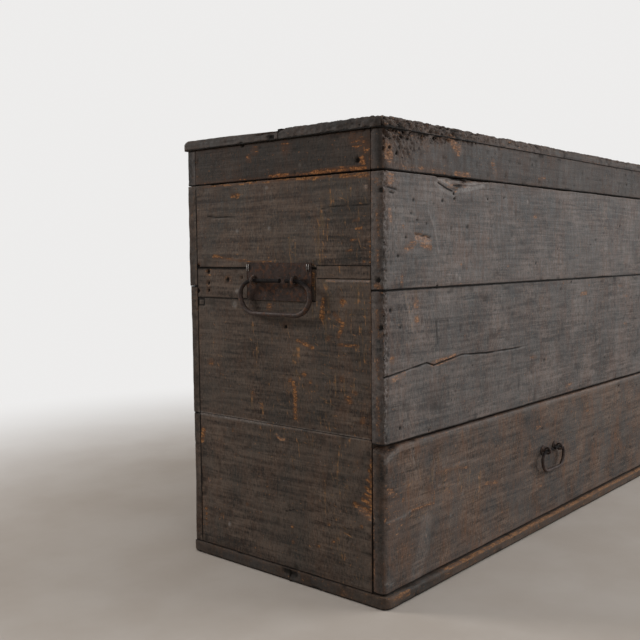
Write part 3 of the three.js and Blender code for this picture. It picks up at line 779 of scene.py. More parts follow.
    def _wear(self) -> None:
        """Works out what time has done to the shown sides: their effects, and how deep the wood is carved."""
        inside = self.inside
        along, across, _ = self.grain.value
        cell = np.full(3, self.WAVE_WIDTH)
        cell[along] = self.WAVE_LENGTH
        shifted = self.points + self.seed * 0.37
        waves = 0.5 + 0.5 * NOISE.at(shifted, cell)
        cell[along], cell[across] = self.WAVE_WIDTH, self.FIBRE_WIDTH
        fibres = 0.5 + 0.5 * NOISE.at(shifted, cell)
        self.crumbs = 0.5 + 0.5 * NOISE.at(shifted, self.CRUMB)
        self.grit = 0.5 + 0.5 * NOISE.even(shifted, 2.6)
        self.bites = np.clip(NOISE.even(shifted, 13) + 0.6 * NOISE.even(-shifted, 6), 0, 1)
        patches = 0.5 + 0.5 * NOISE.even(shifted, 45)
        second = np.sort(np.stack(list(inside.values())), axis=0)[1]
        edge = np.exp(-second / (3.0 * MM))
        self.effects = effects = {name: np.zeros(len(shifted)) for name in EFFECTS}
        nicks = np.clip(NOISE.at(shifted, self.NICK) - 0.42, 0, 0.4) * 2.5
        self.depth = self.relief * (0.7 * waves + 0.55 * fibres * patches + self.nicked * nicks)
        self.depth += edge * self.wear * 0.55 * self.crumbs * patches
        self.depth += np.exp(-second / (5.0 * MM)) * self.ragged * self.bites
        effects["bare"] += self.rub * edge * np.clip(2.2 * patches - 0.5, 0, 1.3)
        # Darker near edges in patches, and in the carved nicks, where the darkening is painted shade.
        effects["dark"] += 0.30 * np.exp(-second / (9 * MM)) * (1 - patches) + 0.3 * self.nicked * nicks
        effects["eaten"] += 0.5 * np.exp(-second / (6.0 * MM)) * min(self.ragged / MM, 1.0) * self.bites
        shown = np.zeros(len(shifted), bool)
        for side in self.shown:
            shown |= self._on(side)
            for at, mark in self.own_marks:
                if at is side:
                    self._apply(mark, side)
            for mark in SIDE_MARKS[side] if side in self.marked else ():
                self._apply(mark, side)
        for crack in self.cracks:
            self._open(crack)
        nearest = np.min([inside[side] for side in self.shown], axis=0)
        joint = self.grimy * self._joint() * (0.75 + 0.5 * self.crumbs)
        seam = 0.85 * np.exp(-nearest / self.SEAM)
        effects["dark"] = np.maximum(effects["dark"], np.where(shown, joint, seam))
        raw = np.clip((nearest - self.SEAM) / self.SEAM, 0, 1)
        effects["raw"] = np.where(shown | (not self.lined), 0, raw)
        self.depth = np.where(shown, self.depth, 0)

    def _joint(self) -> Array:
        """How near each point lies to a joint. Level joints hold more grime than upright ones.

        Returns:
            From 0, far from any joint, to 1 at a joint.
        """
        share = np.zeros(len(self.start))
        for side in Side:
            if side not in self.shown and side not in self.clean:
                weight = 1.0 if side.axis == 2 else self.UPRIGHT_GRIME
                share = np.maximum(share, weight * np.exp(-((self.inside[side] / self.JOINT) ** 2)))
        return share

    def _apply(self, mark: Mark, side: Side) -> None:
        """Adds one mark to the effects and to the depth of the points that it reaches.

        Args:
            mark: The mark.
            side: The side that carries it.
        """
        places = self.points[:, side.across]
        line = np.array(mark.line) * MM
        radius = mark.radius * MM
        near = self._on(side) & (places > line.min(0) - 1.6 * radius).all(1)
        near &= (places < line.max(0) + 1.6 * radius).all(1)
        if not near.any():
            return
        away = distance_to_line(places[near], line) / radius
        crumbs, grit, bites = (noise[near] for noise in (self.crumbs, self.grit, self.bites))
        soft = ease(np.clip(1.5 - away, 0, 1))
        bowl = np.clip(1 - away * away, 0, 1)
        uneven = np.clip(2.6 * crumbs * grit - 0.35, 0, 1.3) + 0.6 * bites
        self.depth[near] += mark.depth * MM * bowl * (0.75 + 0.5 * grit) + mark.rough * MM * soft * uneven
        # Dark is laid in the bowl's shape: in a carved dent it is painted shade as well as grime.
        shares = {"dark": bowl, "eaten": soft * (0.55 + 0.6 * bites + 0.3 * crumbs)}
        for name in EFFECTS:
            amount = getattr(mark, name) * shares.get(name, soft)
            self.effects[name][near] = np.maximum(self.effects[name][near], amount)

    def _open(self, crack: Crack) -> None:
        """Opens a crack: its middle row is carved deep and darkened with painted shade.

        Args:
            crack: The crack.
        """
        along, up = self.points[:, crack.side.across].T
        line = np.array(crack.line) * MM
        near = self._on(crack.side) & (along > line[0, 0]) & (along < line[-1, 0])
        away = np.abs(up - np.interp(along, line[:, 0], line[:, 1])) / (crack.width * MM)
        ends = np.minimum(along - line[0, 0] + 20 * MM, line[-1, 0] - along)
        uneven = 0.6 + 0.4 * NOISE.even(self.points, 14)
        opened = np.where(near, np.clip(1 - away, 0, 1) * np.clip(ends / (60 * MM), 0, 1) * uneven, 0)
        self.depth += opened * crack.depth * MM
        self.effects["dark"] = np.maximum(self.effects["dark"], np.clip(1.4 * opened, 0, 1))

    def _tear(self, splinter: Splinter) -> None:
        """Steps the torn part of a side back in ledges, and draws the top's edge back to the last one.

        Args:
            splinter: Where the wood is torn out.
        """
        side, (u, v) = splinter.side, splinter.side.across
        line = np.array(splinter.line) * MM
        along, up = self.start[:, u], self.start[:, v]
        reach = (along > line[0, 0]) & (along < line[-1, 0])
        limit = np.interp(along, line[:, 0], line[:, 1])
        fibres = NOISE.at(self.start + 0.1, (46 * MM, 46 * MM, 3.2 * MM))
        splits = NOISE.at(self.start + 0.5, (16 * MM, 16 * MM, 2.0 * MM))
        height = np.maximum(self.high[v] - limit, 0.1 * MM)
        full = np.clip(height / (4 * MM), 0, 1)
        share = np.clip((up - limit) / height + 0.26 * fibres + 0.14 * splits, 0, 0.999) * full
        step = np.floor(share * (len(splinter.ledges) + 1)).astype(int)
        ledges = np.concatenate([[0.0], splinter.ledges]) * MM
        depth = ledges[step] * (0.8 + 0.5 * splits)
        torn = reach & self._on(side) & (step > 0)
        behind = reach & self._on(TOP)
        last = ledges[np.floor(0.999 * full * len(ledges)).astype(int)]
        thickness = self.high[side.axis] - self.low[side.axis]
        self.points[torn, side.axis] -= side.sign * depth[torn]
        squeezed = last + self.inside[side] * (1 - last / thickness)
        self.points[behind, side.axis] = (self._face(side) - side.sign * squeezed)[behind]
        # Painted shade: dark between the slivers, darker on the deep upper ledges under the lid. Pale and
        # bare colour the torn wood.
        slivers = NOISE.at(self.start + 0.9, (34 * MM, 34 * MM, 3.6 * MM))[torn]
        low = step[torn] < len(ledges) - 2
        pale = np.clip(0.5 + 2.4 * slivers, 0, 1) * (0.6 + 0.4 * low)
        dark = np.clip(np.where(low, -0.5 - 1.2 * slivers, -0.1 - 2.6 * slivers), 0, 0.75)
        self.effects["pale"][torn] = np.maximum(self.effects["pale"][torn], pale)
        self.effects["bare"][torn] = np.maximum(self.effects["bare"][torn], 0.5)
        self.effects["dark"][torn] = dark

    def _knock_off(self, knock: Knock) -> None:
        """Moves what stands beyond a corner's flat back onto it.

        Args:
            knock: The worn corner.
        """
        inside = self._depths()
        slope = np.zeros(3)
        share = np.ones(len(self.points))
        for side, reach in zip(knock.sides, knock.reach, strict=True):
            share -= inside[side] / (reach * MM)
            slope[side.axis] = side.sign / (reach * MM)
        over = np.maximum(share, 0)
        over = over * over / (over + knock.softness)
        self.points = self.points - (over / (slope @ slope))[:, None] * slope

    def _cut_pockets(self) -> None:
        """Presses the points inside each pocket down to its floor."""
        for pocket in self.pockets:
            axis, sign = pocket.side.value
            places = self.start[:, pocket.side.across]
            low, high = np.array(pocket.low) * MM, np.array(pocket.high) * MM
            inward = (self._face(pocket.side) - self.points[:, axis]) * sign
            sunk = ((places > low + self.WALL / 2) & (places < high - self.WALL / 2)).all(1)
            sunk &= inward < pocket.depth * MM
            floor = pocket.depth * MM + self.FLATTENED * inward
            self.points[sunk, axis] += ((inward - floor) * sign)[sunk]

    def _store(self, mesh: bpy.types.Mesh) -> None:
        """Keeps the grain coordinates and the effects on the mesh for the shaders.

        Args:
            mesh: The board's mesh.
        """
        wood = self.points[:, self.grain.value] + np.array(self.SEED_SHIFT) * self.seed
        attribute = mesh.attributes.new("wood", "FLOAT_VECTOR", "POINT")
        attribute.data.foreach_set("vector", wood.astype(np.float32).ravel())
        for name, values in self.effects.items():
            attribute = mesh.attributes.new(name, "FLOAT", "POINT")
            attribute.data.foreach_set("value", np.clip(values, 0, 1).astype(np.float32))


@dataclass
class Graph:
    """A node tree under construction: adds nodes and joins them.

    Attributes:
        tree: The tree.
        effects: The shared shader groups, in a material's graph.
        shader: The material's shader.
        vector: The coordinates that the material's patterns run over.
    """

    tree: bpy.types.NodeTree
    effects: "Effects | None" = None
    shader: bpy.types.Node | None = None
    vector: Socket | None = None

    def add(self, kind: str, inputs: dict | None = None, **settings: object) -> bpy.types.Node:
        """Adds a node.

        Args:
            kind: The node's type. One that doesn't start with Node is a shader node.
            inputs: Values or sockets for its inputs, by name or number.
            settings: The node's own properties.

        Returns:
            The new node.
        """
        node = self.tree.nodes.new(kind if kind.startswith("Node") else f"ShaderNode{kind}")
        for name, value in settings.items():
            setattr(node, name, value)
        for key, value in (inputs or {}).items():
            if isinstance(value, Socket):
                self.tree.links.new(value, node.inputs[key])
            else:
                node.inputs[key].default_value = value
        return node

    def math(self, operation: str, *values: Value, clamp: bool = False) -> Socket:
        """A sum or comparison of one to three values."""
        inputs = dict(enumerate(values))
        return self.add("Math", inputs, operation=operation, use_clamp=clamp).outputs[0]

    def times(self, first: Value, second: Value) -> Socket:
        """Two values multiplied."""
        return self.math("MULTIPLY", first, second)

    def on_top(self, value: Value, share: Value, base: Value, clamp: bool = False) -> Socket:
        """A share of one value added to another."""
        return self.math("MULTIPLY_ADD", value, share, base, clamp=clamp)

    def larger(self, first: Value, second: Value, clamp: bool = False) -> Socket:
        """The larger of two values."""
        return self.math("MAXIMUM", first, second, clamp=clamp)

    def spread(self, value: Value, low: Value, high: Value, to_low: float = 0.0,
               to_high: float = 1.0) -> Socket:
        """A value stretched smoothly from one range to another, and held at its ends."""
        inputs = {"Value": value, "From Min": low, "From Max": high, "To Min": to_low, "To Max": to_high}
        return self.add("MapRange", inputs, interpolation_type="SMOOTHSTEP").outputs["Result"]

    def mix(self, share: Value, first: Value, second: Value) -> Socket:
        """Two colours mixed."""
        pair = [value if isinstance(value, Socket) else (*value, 1.0) for value in (first, second)]
        return self.add("Mix", {0: share, 6: pair[0], 7: pair[1]}, data_type="RGBA").outputs[2]

    def scaled(self, vector: Value, scale: Value) -> Socket:
        """A vector with each part multiplied."""
        return self.add("VectorMath", {0: vector, 1: scale}, operation="MULTIPLY").outputs[0]

    def noise(self, vector: Value, scale: Value, detail: float = 3.0, rough: float = 0.55) -> Socket:
        """Noise about a half."""
        inputs = {"Vector": vector, "Scale": scale, "Detail": detail, "Roughness": rough}
        return self.add("TexNoise", inputs).outputs[0]

    def attribute(self, name: str, output: str = "Fac") -> Socket:
        """What the mesh holds under a name."""
        return self.add("Attribute", attribute_name=name).outputs[output]

    def place(self) -> Socket:
        """Places in the object's own space."""
        return self.add("TexCoord").outputs["Object"]

    def group(self, tree: bpy.types.NodeTree, **inputs: Value) -> bpy.types.Node:
        """Places a shader group and sets its inputs by name."""
        return self.add("Group", inputs, node_tree=tree)

    def mottle(self, scale: float, stretch: Colour | None = None) -> Socket:
        """Cloudy patches, which can be drawn out along the board's own axes."""
        drawn = self.scaled(self.vector, stretch) if stretch else self.vector
        return self.group(self.effects.mottle, Vector=drawn, Scale=scale).outputs[0]

    def strokes(self, density: Value, stretch: Colour, vector: Socket | None = None) -> Socket:
        """Drawn-out strokes."""
        vector = vector or self.vector
        return self.group(self.effects.strokes, Vector=vector, Density=density, Stretch=stretch).outputs[0]

    def pocks(self, scale: float, density: Value, vector: Socket | None = None) -> Socket:
        """Small round pits."""
        vector = vector or self.vector
        return self.group(self.effects.pocks, Vector=vector, Scale=scale, Density=density).outputs[0]

    def dust(self, amount: Value) -> Socket:
        """A thin broken film."""
        return self.group(self.effects.dust, Vector=self.vector, Amount=amount).outputs[0]

    def feed(self, colour: Value, rough: Value, height: Value, distance: float) -> None:
        """Joins a base colour, a roughness and bumps to the shader.

        Args:
            colour: Base colour.
            rough: Roughness.
            height: Height of the bumps, from 0 to 1.
            distance: What a height of 1 stands for.
        """
        bump = self.add("Bump", {"Height": height, "Distance": distance, "Strength": 1.0})
        for socket, value in (("Base Color", colour), ("Roughness", rough), ("Normal", bump.outputs[0])):
            self.tree.links.new(value, self.shader.inputs[socket])


class Effects:
    """The shader groups that several finishes share. Each is built once."""

    def __init__(self) -> None:
        """Builds every group."""
        self.grain = self._group(self._grain, ("Tone", "Relief"), Fibre="Float", Figure="Float")
        self.strokes = self._group(self._strokes, ("Mask",), Density="Float", Stretch="Vector")
        self.mottle = self._group(self._mottle, ("Value",), Scale="Float")
        self.pocks = self._group(self._pocks, ("Mask",), Scale="Float", Density="Float")
        self.dust = self._group(self._dust, ("Mask",), Amount="Float")

    @staticmethod
    def _group(lay: Callable[[Graph, Sockets], Sockets], outputs: tuple[str, ...],
               **inputs: str) -> bpy.types.NodeTree:
        """Makes a group with named sockets.

        Args:
            lay: Lays its nodes. The group is named after it.
            outputs: Names of the values that it puts out.
            inputs: Kind of each input socket by name, past the first, Vector.

        Returns:
            The group.
        """
        tree = bpy.data.node_groups.new(lay.__name__.strip("_"), "ShaderNodeTree")
        inputs = {"Vector": "Vector", **inputs}
        for socket, kind in inputs.items():
            tree.interface.new_socket(socket, in_out="INPUT", socket_type=f"NodeSocket{kind}")
        for socket in outputs:
            tree.interface.new_socket(socket, in_out="OUTPUT", socket_type="NodeSocketFloat")
        graph = Graph(tree)
        given = graph.add("NodeGroupInput")
        graph.add("NodeGroupOutput", lay(graph, {socket: given.outputs[socket] for socket in inputs}))
        return tree

    @staticmethod
    def _grain(graph: Graph, given: Sockets) -> Sockets:
        """Fine fibres along the board and the wider figure of its growth rings.

        Args:
            graph: The group's nodes.
            given: Vector, and the scales Fibre and Figure.

        Returns:
            Tone, from dark to light wood, and Relief.
        """
        drawn = graph.scaled(given["Vector"], (0.05, 1.0, 1.0))
        fibre = graph.noise(drawn, given["Fibre"], 5.0, 0.65)
        bent = graph.scaled(given["Vector"], (0.22, 1.0, 1.0))
        rings = graph.add("TexWave", {
            "Vector": bent, "Scale": given["Figure"], "Distortion": 9.0, "Detail": 2.0, "Detail Scale": 0.8,
        }, bands_direction="Y").outputs["Fac"]
        tone = graph.add("Mix", {0: 0.22, 2: graph.spread(fibre, 0.28, 0.72), 3: rings}).outputs[0]
        return {"Tone": tone, "Relief": graph.on_top(rings, 0.2, fibre)}

    @staticmethod
    def _strokes(graph: Graph, given: Sockets) -> Sockets:
        """Drawn-out strokes that cover more of the surface as the density rises.

        Args:
            graph: The group's nodes.
            given: Vector, Density, and the Stretch of the strokes.

        Returns:
            Mask, 1 on a stroke.
        """
        drawn = graph.scaled(given["Vector"], given["Stretch"])
        found = graph.spread(graph.noise(drawn, 1.0, 3.0, 0.6), 0.27, 0.75)
        least = graph.math("SUBTRACT", 1.0, given["Density"])
        return {"Mask": graph.spread(found, least, graph.math("ADD", least, 0.16))}

    @staticmethod
    def _mottle(graph: Graph, given: Sockets) -> Sockets:
        """Cloudy patches."""
        return {"Value": graph.spread(graph.noise(given["Vector"], given["Scale"], 4.0, 0.6), 0.32, 0.68)}

    @staticmethod
    def _pocks(graph: Graph, given: Sockets) -> Sockets:
        """Small round pits, larger and closer as the density rises.

        Args:
            graph: The group's nodes.
            given: Vector, Scale and Density.

        Returns:
            Mask, 1 in a pit.
        """
        cells = graph.add("TexVoronoi", {"Vector": given["Vector"], "Scale": given["Scale"]})
        pick = graph.add("SeparateColor", {0: cells.outputs["Color"]}).outputs[0]
        size = graph.times(graph.math("SUBTRACT", given["Density"], pick, clamp=True), 0.6)
        return {"Mask": graph.spread(cells.outputs["Distance"], graph.times(size, 0.4), size, 1.0, 0.0)}

    @staticmethod
    def _dust(graph: Graph, given: Sockets) -> Sockets:
        """A thin broken film."""
        film = graph.spread(graph.noise(given["Vector"], 210.0, 4.0, 0.75), 0.35, 0.7)
        return {"Mask": graph.times(given["Amount"], graph.on_top(film, 0.7, 0.3))}


class Finish:
    """A material whose nodes are laid by its subclass."""

    name = "finish"

    def build(self, effects: Effects) -> bpy.types.Material:
        """Makes the material.

        Args:
            effects: The shared shader groups.

        Returns:
            The material, with its shader linked to the output.
        """
        material = bpy.data.materials.new(self.name)
        material.use_nodes = True
        material.node_tree.nodes.clear()
        graph = Graph(material.node_tree, effects)
        graph.shader = graph.add("BsdfPrincipled")
        self.lay(graph)
        graph.add("OutputMaterial", {"Surface": self.surface(graph)})
        return material

    def lay(self, graph: Graph) -> None:
        """Lays the nodes that feed the shader."""
        raise NotImplementedError

    def surface(self, graph: Graph) -> Socket:
        """What the material shows: the shader alone, unless a finish adds to it."""
        return graph.shader.outputs[0]


@dataclass(frozen=True)
class WoodFinish(Finish):
    """Stained boards, worn through to bare wood where hands and knocks have rubbed them."""

    name: str = "aged_board"
    dark_stain: Colour = (0.015, 0.013, 0.012)
    light_stain: Colour = (0.176, 0.146, 0.130)
    warm_stain: Colour = (0.120, 0.066, 0.046)
    cool_stain: Colour = (0.054, 0.060, 0.062)
    scratched: Colour = (0.135, 0.086, 0.042)
    bare_dark: Colour = (0.128, 0.064, 0.036)
    bare_light: Colour = (0.36, 0.19, 0.100)
    # Near-black of grime, and of painted shade in pits, dents, nicks, cracks and torn wood.
    grime_and_shade: Colour = (0.007, 0.006, 0.005)
    film: Colour = (0.30, 0.28, 0.265)
    raw_dark: Colour = (0.085, 0.055, 0.036)
    raw_light: Colour = (0.20, 0.14, 0.095)
    warmth: float = 0.55
    chill: float = 0.44
    banding: float = 0.38
    fibre: float = 430.0
    figure: float = 30.0
    rough_low: float = 0.50
    rough_high: float = 0.74
    speckle: float = 0.13
    scuffing: float = 0.07
    gloss: float = 0.36

    # Scale and stretch of each kind of patch.
    FRECKLES = (260.0, (1.6, 0.7, 1.0))
    WIPES = (150.0, (1.0, 0.2, 1.0))
    BANDS = (105.0, (0.12, 1.0, 1.0))
    CLOUDS = (11.0, None)
    WARM_PATCHES = (30.0, (1.0, 0.45, 1.0))
    COOL_PATCHES = (27.0, (0.8, 0.5, 1.0))
    # Stretch of each kind of stroke.
    UPRIGHT_STROKES = (210.0, 24.0, 210.0)
    SLANTED_STROKES = (300.0, 36.0, 300.0)
    STRAY_STROKES = (280.0, 34.0, 280.0)
    RUBS = (75.0, 340.0, 340.0)
    CHIPS = (260.0, 230.0, 260.0)
    # Scale and density of the worm holes and of the specks of dust, and the scales of bites and crumbs.
    HOLES = (85.0, 0.18)
    SPECKS = (130.0, 0.22)
    BITE_SCALE = 260.0
    CRUMB_SCALE = 560.0
    # How far the bumps stand out.
    BUMP = 0.32 * MM

    def lay(self, graph: Graph) -> None:
        """Lays stain, grain, bare wood, grime, painted shade, dust and a painted highlight over each other.

        Args:
            graph: The material's nodes.
        """
        graph.vector = wood = graph.attribute("wood", "Vector")
        grain = graph.group(graph.effects.grain, Vector=wood, Fibre=self.fibre, Figure=self.figure)
        freckles = graph.mottle(*self.FRECKLES)
        wiped = graph.mottle(*self.WIPES)
        tone = graph.on_top(grain.outputs["Tone"], 0.62, graph.times(graph.mottle(*self.CLOUDS), 0.44))
        tone = graph.on_top(graph.mottle(*self.BANDS), self.banding, tone)
        tone = graph.on_top(freckles, 0.65, tone)
        tone = graph.math("SUBTRACT", tone, 0.355 + self.banding / 2, clamp=True)
        colour = graph.mix(tone, self.dark_stain, self.light_stain)
        warm = graph.times(wiped, graph.on_top(graph.mottle(*self.WARM_PATCHES), 0.7, 0.3))
        colour = graph.mix(graph.times(warm, self.warmth), colour, self.warm_stain)
        cool = graph.mottle(*self.COOL_PATCHES)
        colour = graph.mix(graph.times(cool, self.chill), colour, self.cool_stain)
        colour, drawn = self._scratches(graph, colour)
        colour, bare = self._rubbed(graph, colour)
        raw = graph.mix(tone, self.raw_dark, self.raw_light)
        colour = graph.mix(graph.times(graph.attribute("raw"), 0.92), colour, raw)
        eaten = graph.attribute("eaten")
        colour, pits = self._eaten(graph, colour, freckles, eaten)
        # The pale marks lay a film of dust; along the drawer's top edge and knocked corner the film is a
        # painted highlight.
        dust = graph.dust(graph.attribute("pale"))
        specks = graph.pocks(*self.SPECKS)
        colour = graph.mix(graph.larger(graph.times(dust, 0.75), graph.times(specks, 0.5)), colour, self.film)

        sheen = graph.on_top(wiped, 0.5, graph.times(freckles, 0.5))
        rough = graph.spread(sheen, 0.0, 1.0, self.rough_low, self.rough_high)
        rough = graph.on_top(graph.larger(bare, eaten), 0.14, rough)
        rough = graph.on_top(graph.attribute("dark"), 0.3, rough, clamp=True)
        height = graph.on_top(bare, -0.3, grain.outputs["Relief"])
        height = graph.on_top(drawn, -0.35, graph.on_top(freckles, 0.45, height))
        height = graph.on_top(pits, -2.4, height)
        graph.shader.inputs["Specular IOR Level"].default_value = self.gloss
        graph.feed(colour, rough, height, self.BUMP)

    def _scratches(self, graph: Graph, colour: Value) -> tuple[Socket, Socket]:
        """Fine scratches: upright and slanted where the wood is marked for them, and a few everywhere.

        Args:
            graph: The material's nodes.
            colour: What they are scratched into.

        Returns:
            The colour with the scratches, and where they are.
        """
        density = graph.attribute("scratch")
        drawn = None
        for angle, share, least, stretch in (
            (0.03, 0.50, 0.0, self.UPRIGHT_STROKES),
            (0.38, 0.34, 0.02, self.SLANTED_STROKES),
            (1.25, 0.22, self.scuffing, self.STRAY_STROKES),
        ):
            turned = graph.add("VectorRotate", {"Vector": graph.vector, "Angle": angle},
                               rotation_type="Z_AXIS").outputs[0]
            found = graph.strokes(graph.on_top(density, share, least), stretch, turned)
            drawn = found if drawn is None else graph.larger(drawn, found)
        fresh = graph.spread(graph.noise(graph.vector, 120.0, 2.0), 0.45, 0.68)
        share = graph.times(drawn, graph.on_top(fresh, 0.26, 0.42))
        return graph.mix(share, colour, graph.mix(fresh, self.scratched, self.bare_light)), drawn

    def _rubbed(self, graph: Graph, colour: Value) -> tuple[Socket, Socket]:
        """Bare wood: a soft brown round it, the rubbed place itself, and small chips here and there.

        Args:
            graph: The material's nodes.
            colour: What shows round it.

        Returns:
            The colour with the bare wood, and where it is.
        """
        amount = graph.attribute("bare")
        flecks = graph.spread(graph.noise(graph.vector, 320.0, 3.0), 0.36, 0.66)
        colour = graph.mix(graph.times(amount, graph.on_top(flecks, 0.4, 0.5)), colour, self.bare_dark)
        rubbed = graph.strokes(graph.times(amount, 0.78), self.RUBS)
        bare = graph.larger(rubbed, graph.times(graph.strokes(self.speckle, self.CHIPS), 0.7))
        wood_colour = graph.mix(flecks, self.bare_dark, self.bare_light)
        return graph.mix(graph.times(bare, 0.85), colour, wood_colour), bare

    def _eaten(self, graph: Graph, colour: Value, freckles: Value, eaten: Value) -> tuple[Socket, Socket]:
        """Worm-eaten wood, pits, grime and painted shade: the pits are painted dark as the shade in them.

        Args:
            graph: The material's nodes.
            colour: The sound wood's colour.
            freckles: Fine mottling, which breaks up what this adds.
            eaten: How far the wood is eaten.

        Returns:
            The colour with pits, grime and painted shade, and where the pits are.
        """
        drawn = graph.scaled(graph.vector, (0.6, 1.0, 1.0))
        bitten = graph.pocks(self.BITE_SCALE, graph.times(eaten, 1.25), drawn)
        crumbled = graph.pocks(self.CRUMB_SCALE, eaten)
        pits = graph.larger(graph.pocks(*self.HOLES), graph.larger(bitten, graph.times(crumbled, 0.7)))
        stained = graph.on_top(graph.math("SUBTRACT", freckles, 0.5), 0.2, graph.attribute("dark"))
        # The dark marks hold grime and painted shade, and the pits are painted dark as shade.
        grime_and_shade = graph.larger(graph.spread(stained, 0.12, 0.62), pits, clamp=True)
        crust = graph.times(graph.spread(freckles, 0.5, 0.85), graph.times(eaten, 0.5))
        colour = graph.mix(crust, colour, self.film)
        return graph.mix(graph.times(grime_and_shade, 0.94), colour, self.grime_and_shade), pits


@dataclass(frozen=True)
class IronFinish(Finish):
    """Forged iron, darkened by age, with brown rust in its hollows and brighter worn crests."""

    name: str = "forged_iron"
    dark: Colour = (0.024, 0.017, 0.015)
    brown: Colour = (0.060, 0.036, 0.029)
    rust: Colour = (0.125, 0.055, 0.028)
    bright: Colour = (0.115, 0.090, 0.078)
    # Near-black of painted shade, laid where a piece's mesh marks it: the bails' upper bars.
    painted_shade: Colour = (0.009, 0.007, 0.007)
    film: Colour = (0.20, 0.17, 0.15)
    dusting: float = 0.10
    metal: float = 0.25
    rough_low: float = 0.46
    rough_high: float = 0.68
    rust_share: float = 0.30
    shine: float = 0.22
    pitting: float = 0.4
    gloss: float = 0.3

    # Scales of the clouds, the fine mottling and the pits, and stretch of the rust and of the worn crests.
    CLOUD_SCALE = 90.0
    FINE_SCALE = 420.0
    PIT_SCALE = 520.0
    RUST_STROKES = (150.0, 150.0, 150.0)
    WORN_STROKES = (130.0, 130.0, 260.0)
    # How far the bumps stand out.
    BUMP = 0.18 * MM

    def lay(self, graph: Graph) -> None:
        """Lays scale, rust, pits and polished crests over each other.

        Args:
            graph: The material's nodes.
        """
        graph.vector = graph.place()
        clouds = graph.mottle(self.CLOUD_SCALE)
        fine = graph.mottle(self.FINE_SCALE)
        rusted = graph.strokes(self.rust_share, self.RUST_STROKES)
        pits = graph.pocks(self.PIT_SCALE, self.pitting)
        worn = graph.strokes(self.shine, self.WORN_STROKES)
        colour = graph.mix(graph.on_top(fine, 0.3, graph.times(clouds, 0.7)), self.dark, self.brown)
        colour = graph.mix(graph.times(rusted, 0.65), colour, self.rust)
        colour = graph.mix(graph.times(worn, 0.5), colour, self.bright)
        colour = graph.mix(graph.dust(self.dusting), colour, self.film)
        # Painted shade: the marked part of each bail, its upper bar, is darkened to near-black.
        colour = graph.mix(graph.attribute("painted_shade"), colour, self.painted_shade)
        rough = graph.spread(fine, 0.0, 1.0, self.rough_low, self.rough_high)
        rough = graph.on_top(rusted, 0.15, rough)
        rough = graph.on_top(graph.attribute("painted_shade"), 0.35, rough, clamp=True)
        height = graph.on_top(pits, -0.8, graph.on_top(fine, 0.35, clouds))
        graph.shader.inputs["Metallic"].default_value = self.metal
        graph.shader.inputs["Specular IOR Level"].default_value = self.gloss
        graph.feed(colour, rough, height, self.BUMP)


BACKDROP: Colour = (0.85, 0.842, 0.835)


@dataclass(frozen=True)
class FloorFinish(Finish):
    """Plain pale floor round the chest, which runs out into the plain backdrop."""

    name: str = "pale_floor"
    floor: Colour = (0.43, 0.375, 0.325)
    floor_pale: Colour = (0.50, 0.455, 0.41)
    cloud_scale: float = 5.0
    rough_low: float = 0.75
    rough_high: float = 0.85
    bump: float = 0.3 * MM
    centre: Point = (-0.15, -0.15)
    inner: float = 0.70
    outer: float = 1.9

    def lay(self, graph: Graph) -> None:
        """Lays faint clouds over the plain colour.

        Args:
            graph: The material's nodes.
        """
        graph.vector = graph.place()
        clouds = graph.mottle(self.cloud_scale)
        colour = graph.mix(graph.times(clouds, 0.6), self.floor, self.floor_pale)
        rough = graph.spread(clouds, 0.0, 1.0, self.rough_low, self.rough_high)
        graph.feed(colour, rough, clouds, self.bump)

    def surface(self, graph: Graph) -> Socket:
        """The shader near the chest, and for the camera alone the backdrop's glow away from it.

        Args:
            graph: The material's nodes.

        Returns:
            The two mixed.
        """
        glow = graph.add("Emission", {"Color": (*BACKDROP, 1.0), "Strength": 1.0})
        centre = (*self.centre, 0.0)
        away = graph.add("VectorMath", {0: graph.vector, 1: centre}, operation="DISTANCE")
        seen = graph.add("LightPath").outputs["Is Camera Ray"]
        share = graph.times(graph.spread(away.outputs["Value"], self.inner, self.outer), seen)
        shaders = {0: share, 1: graph.shader.outputs[0], 2: glow.outputs[0]}
        return graph.add("MixShader", shaders).outputs[0]


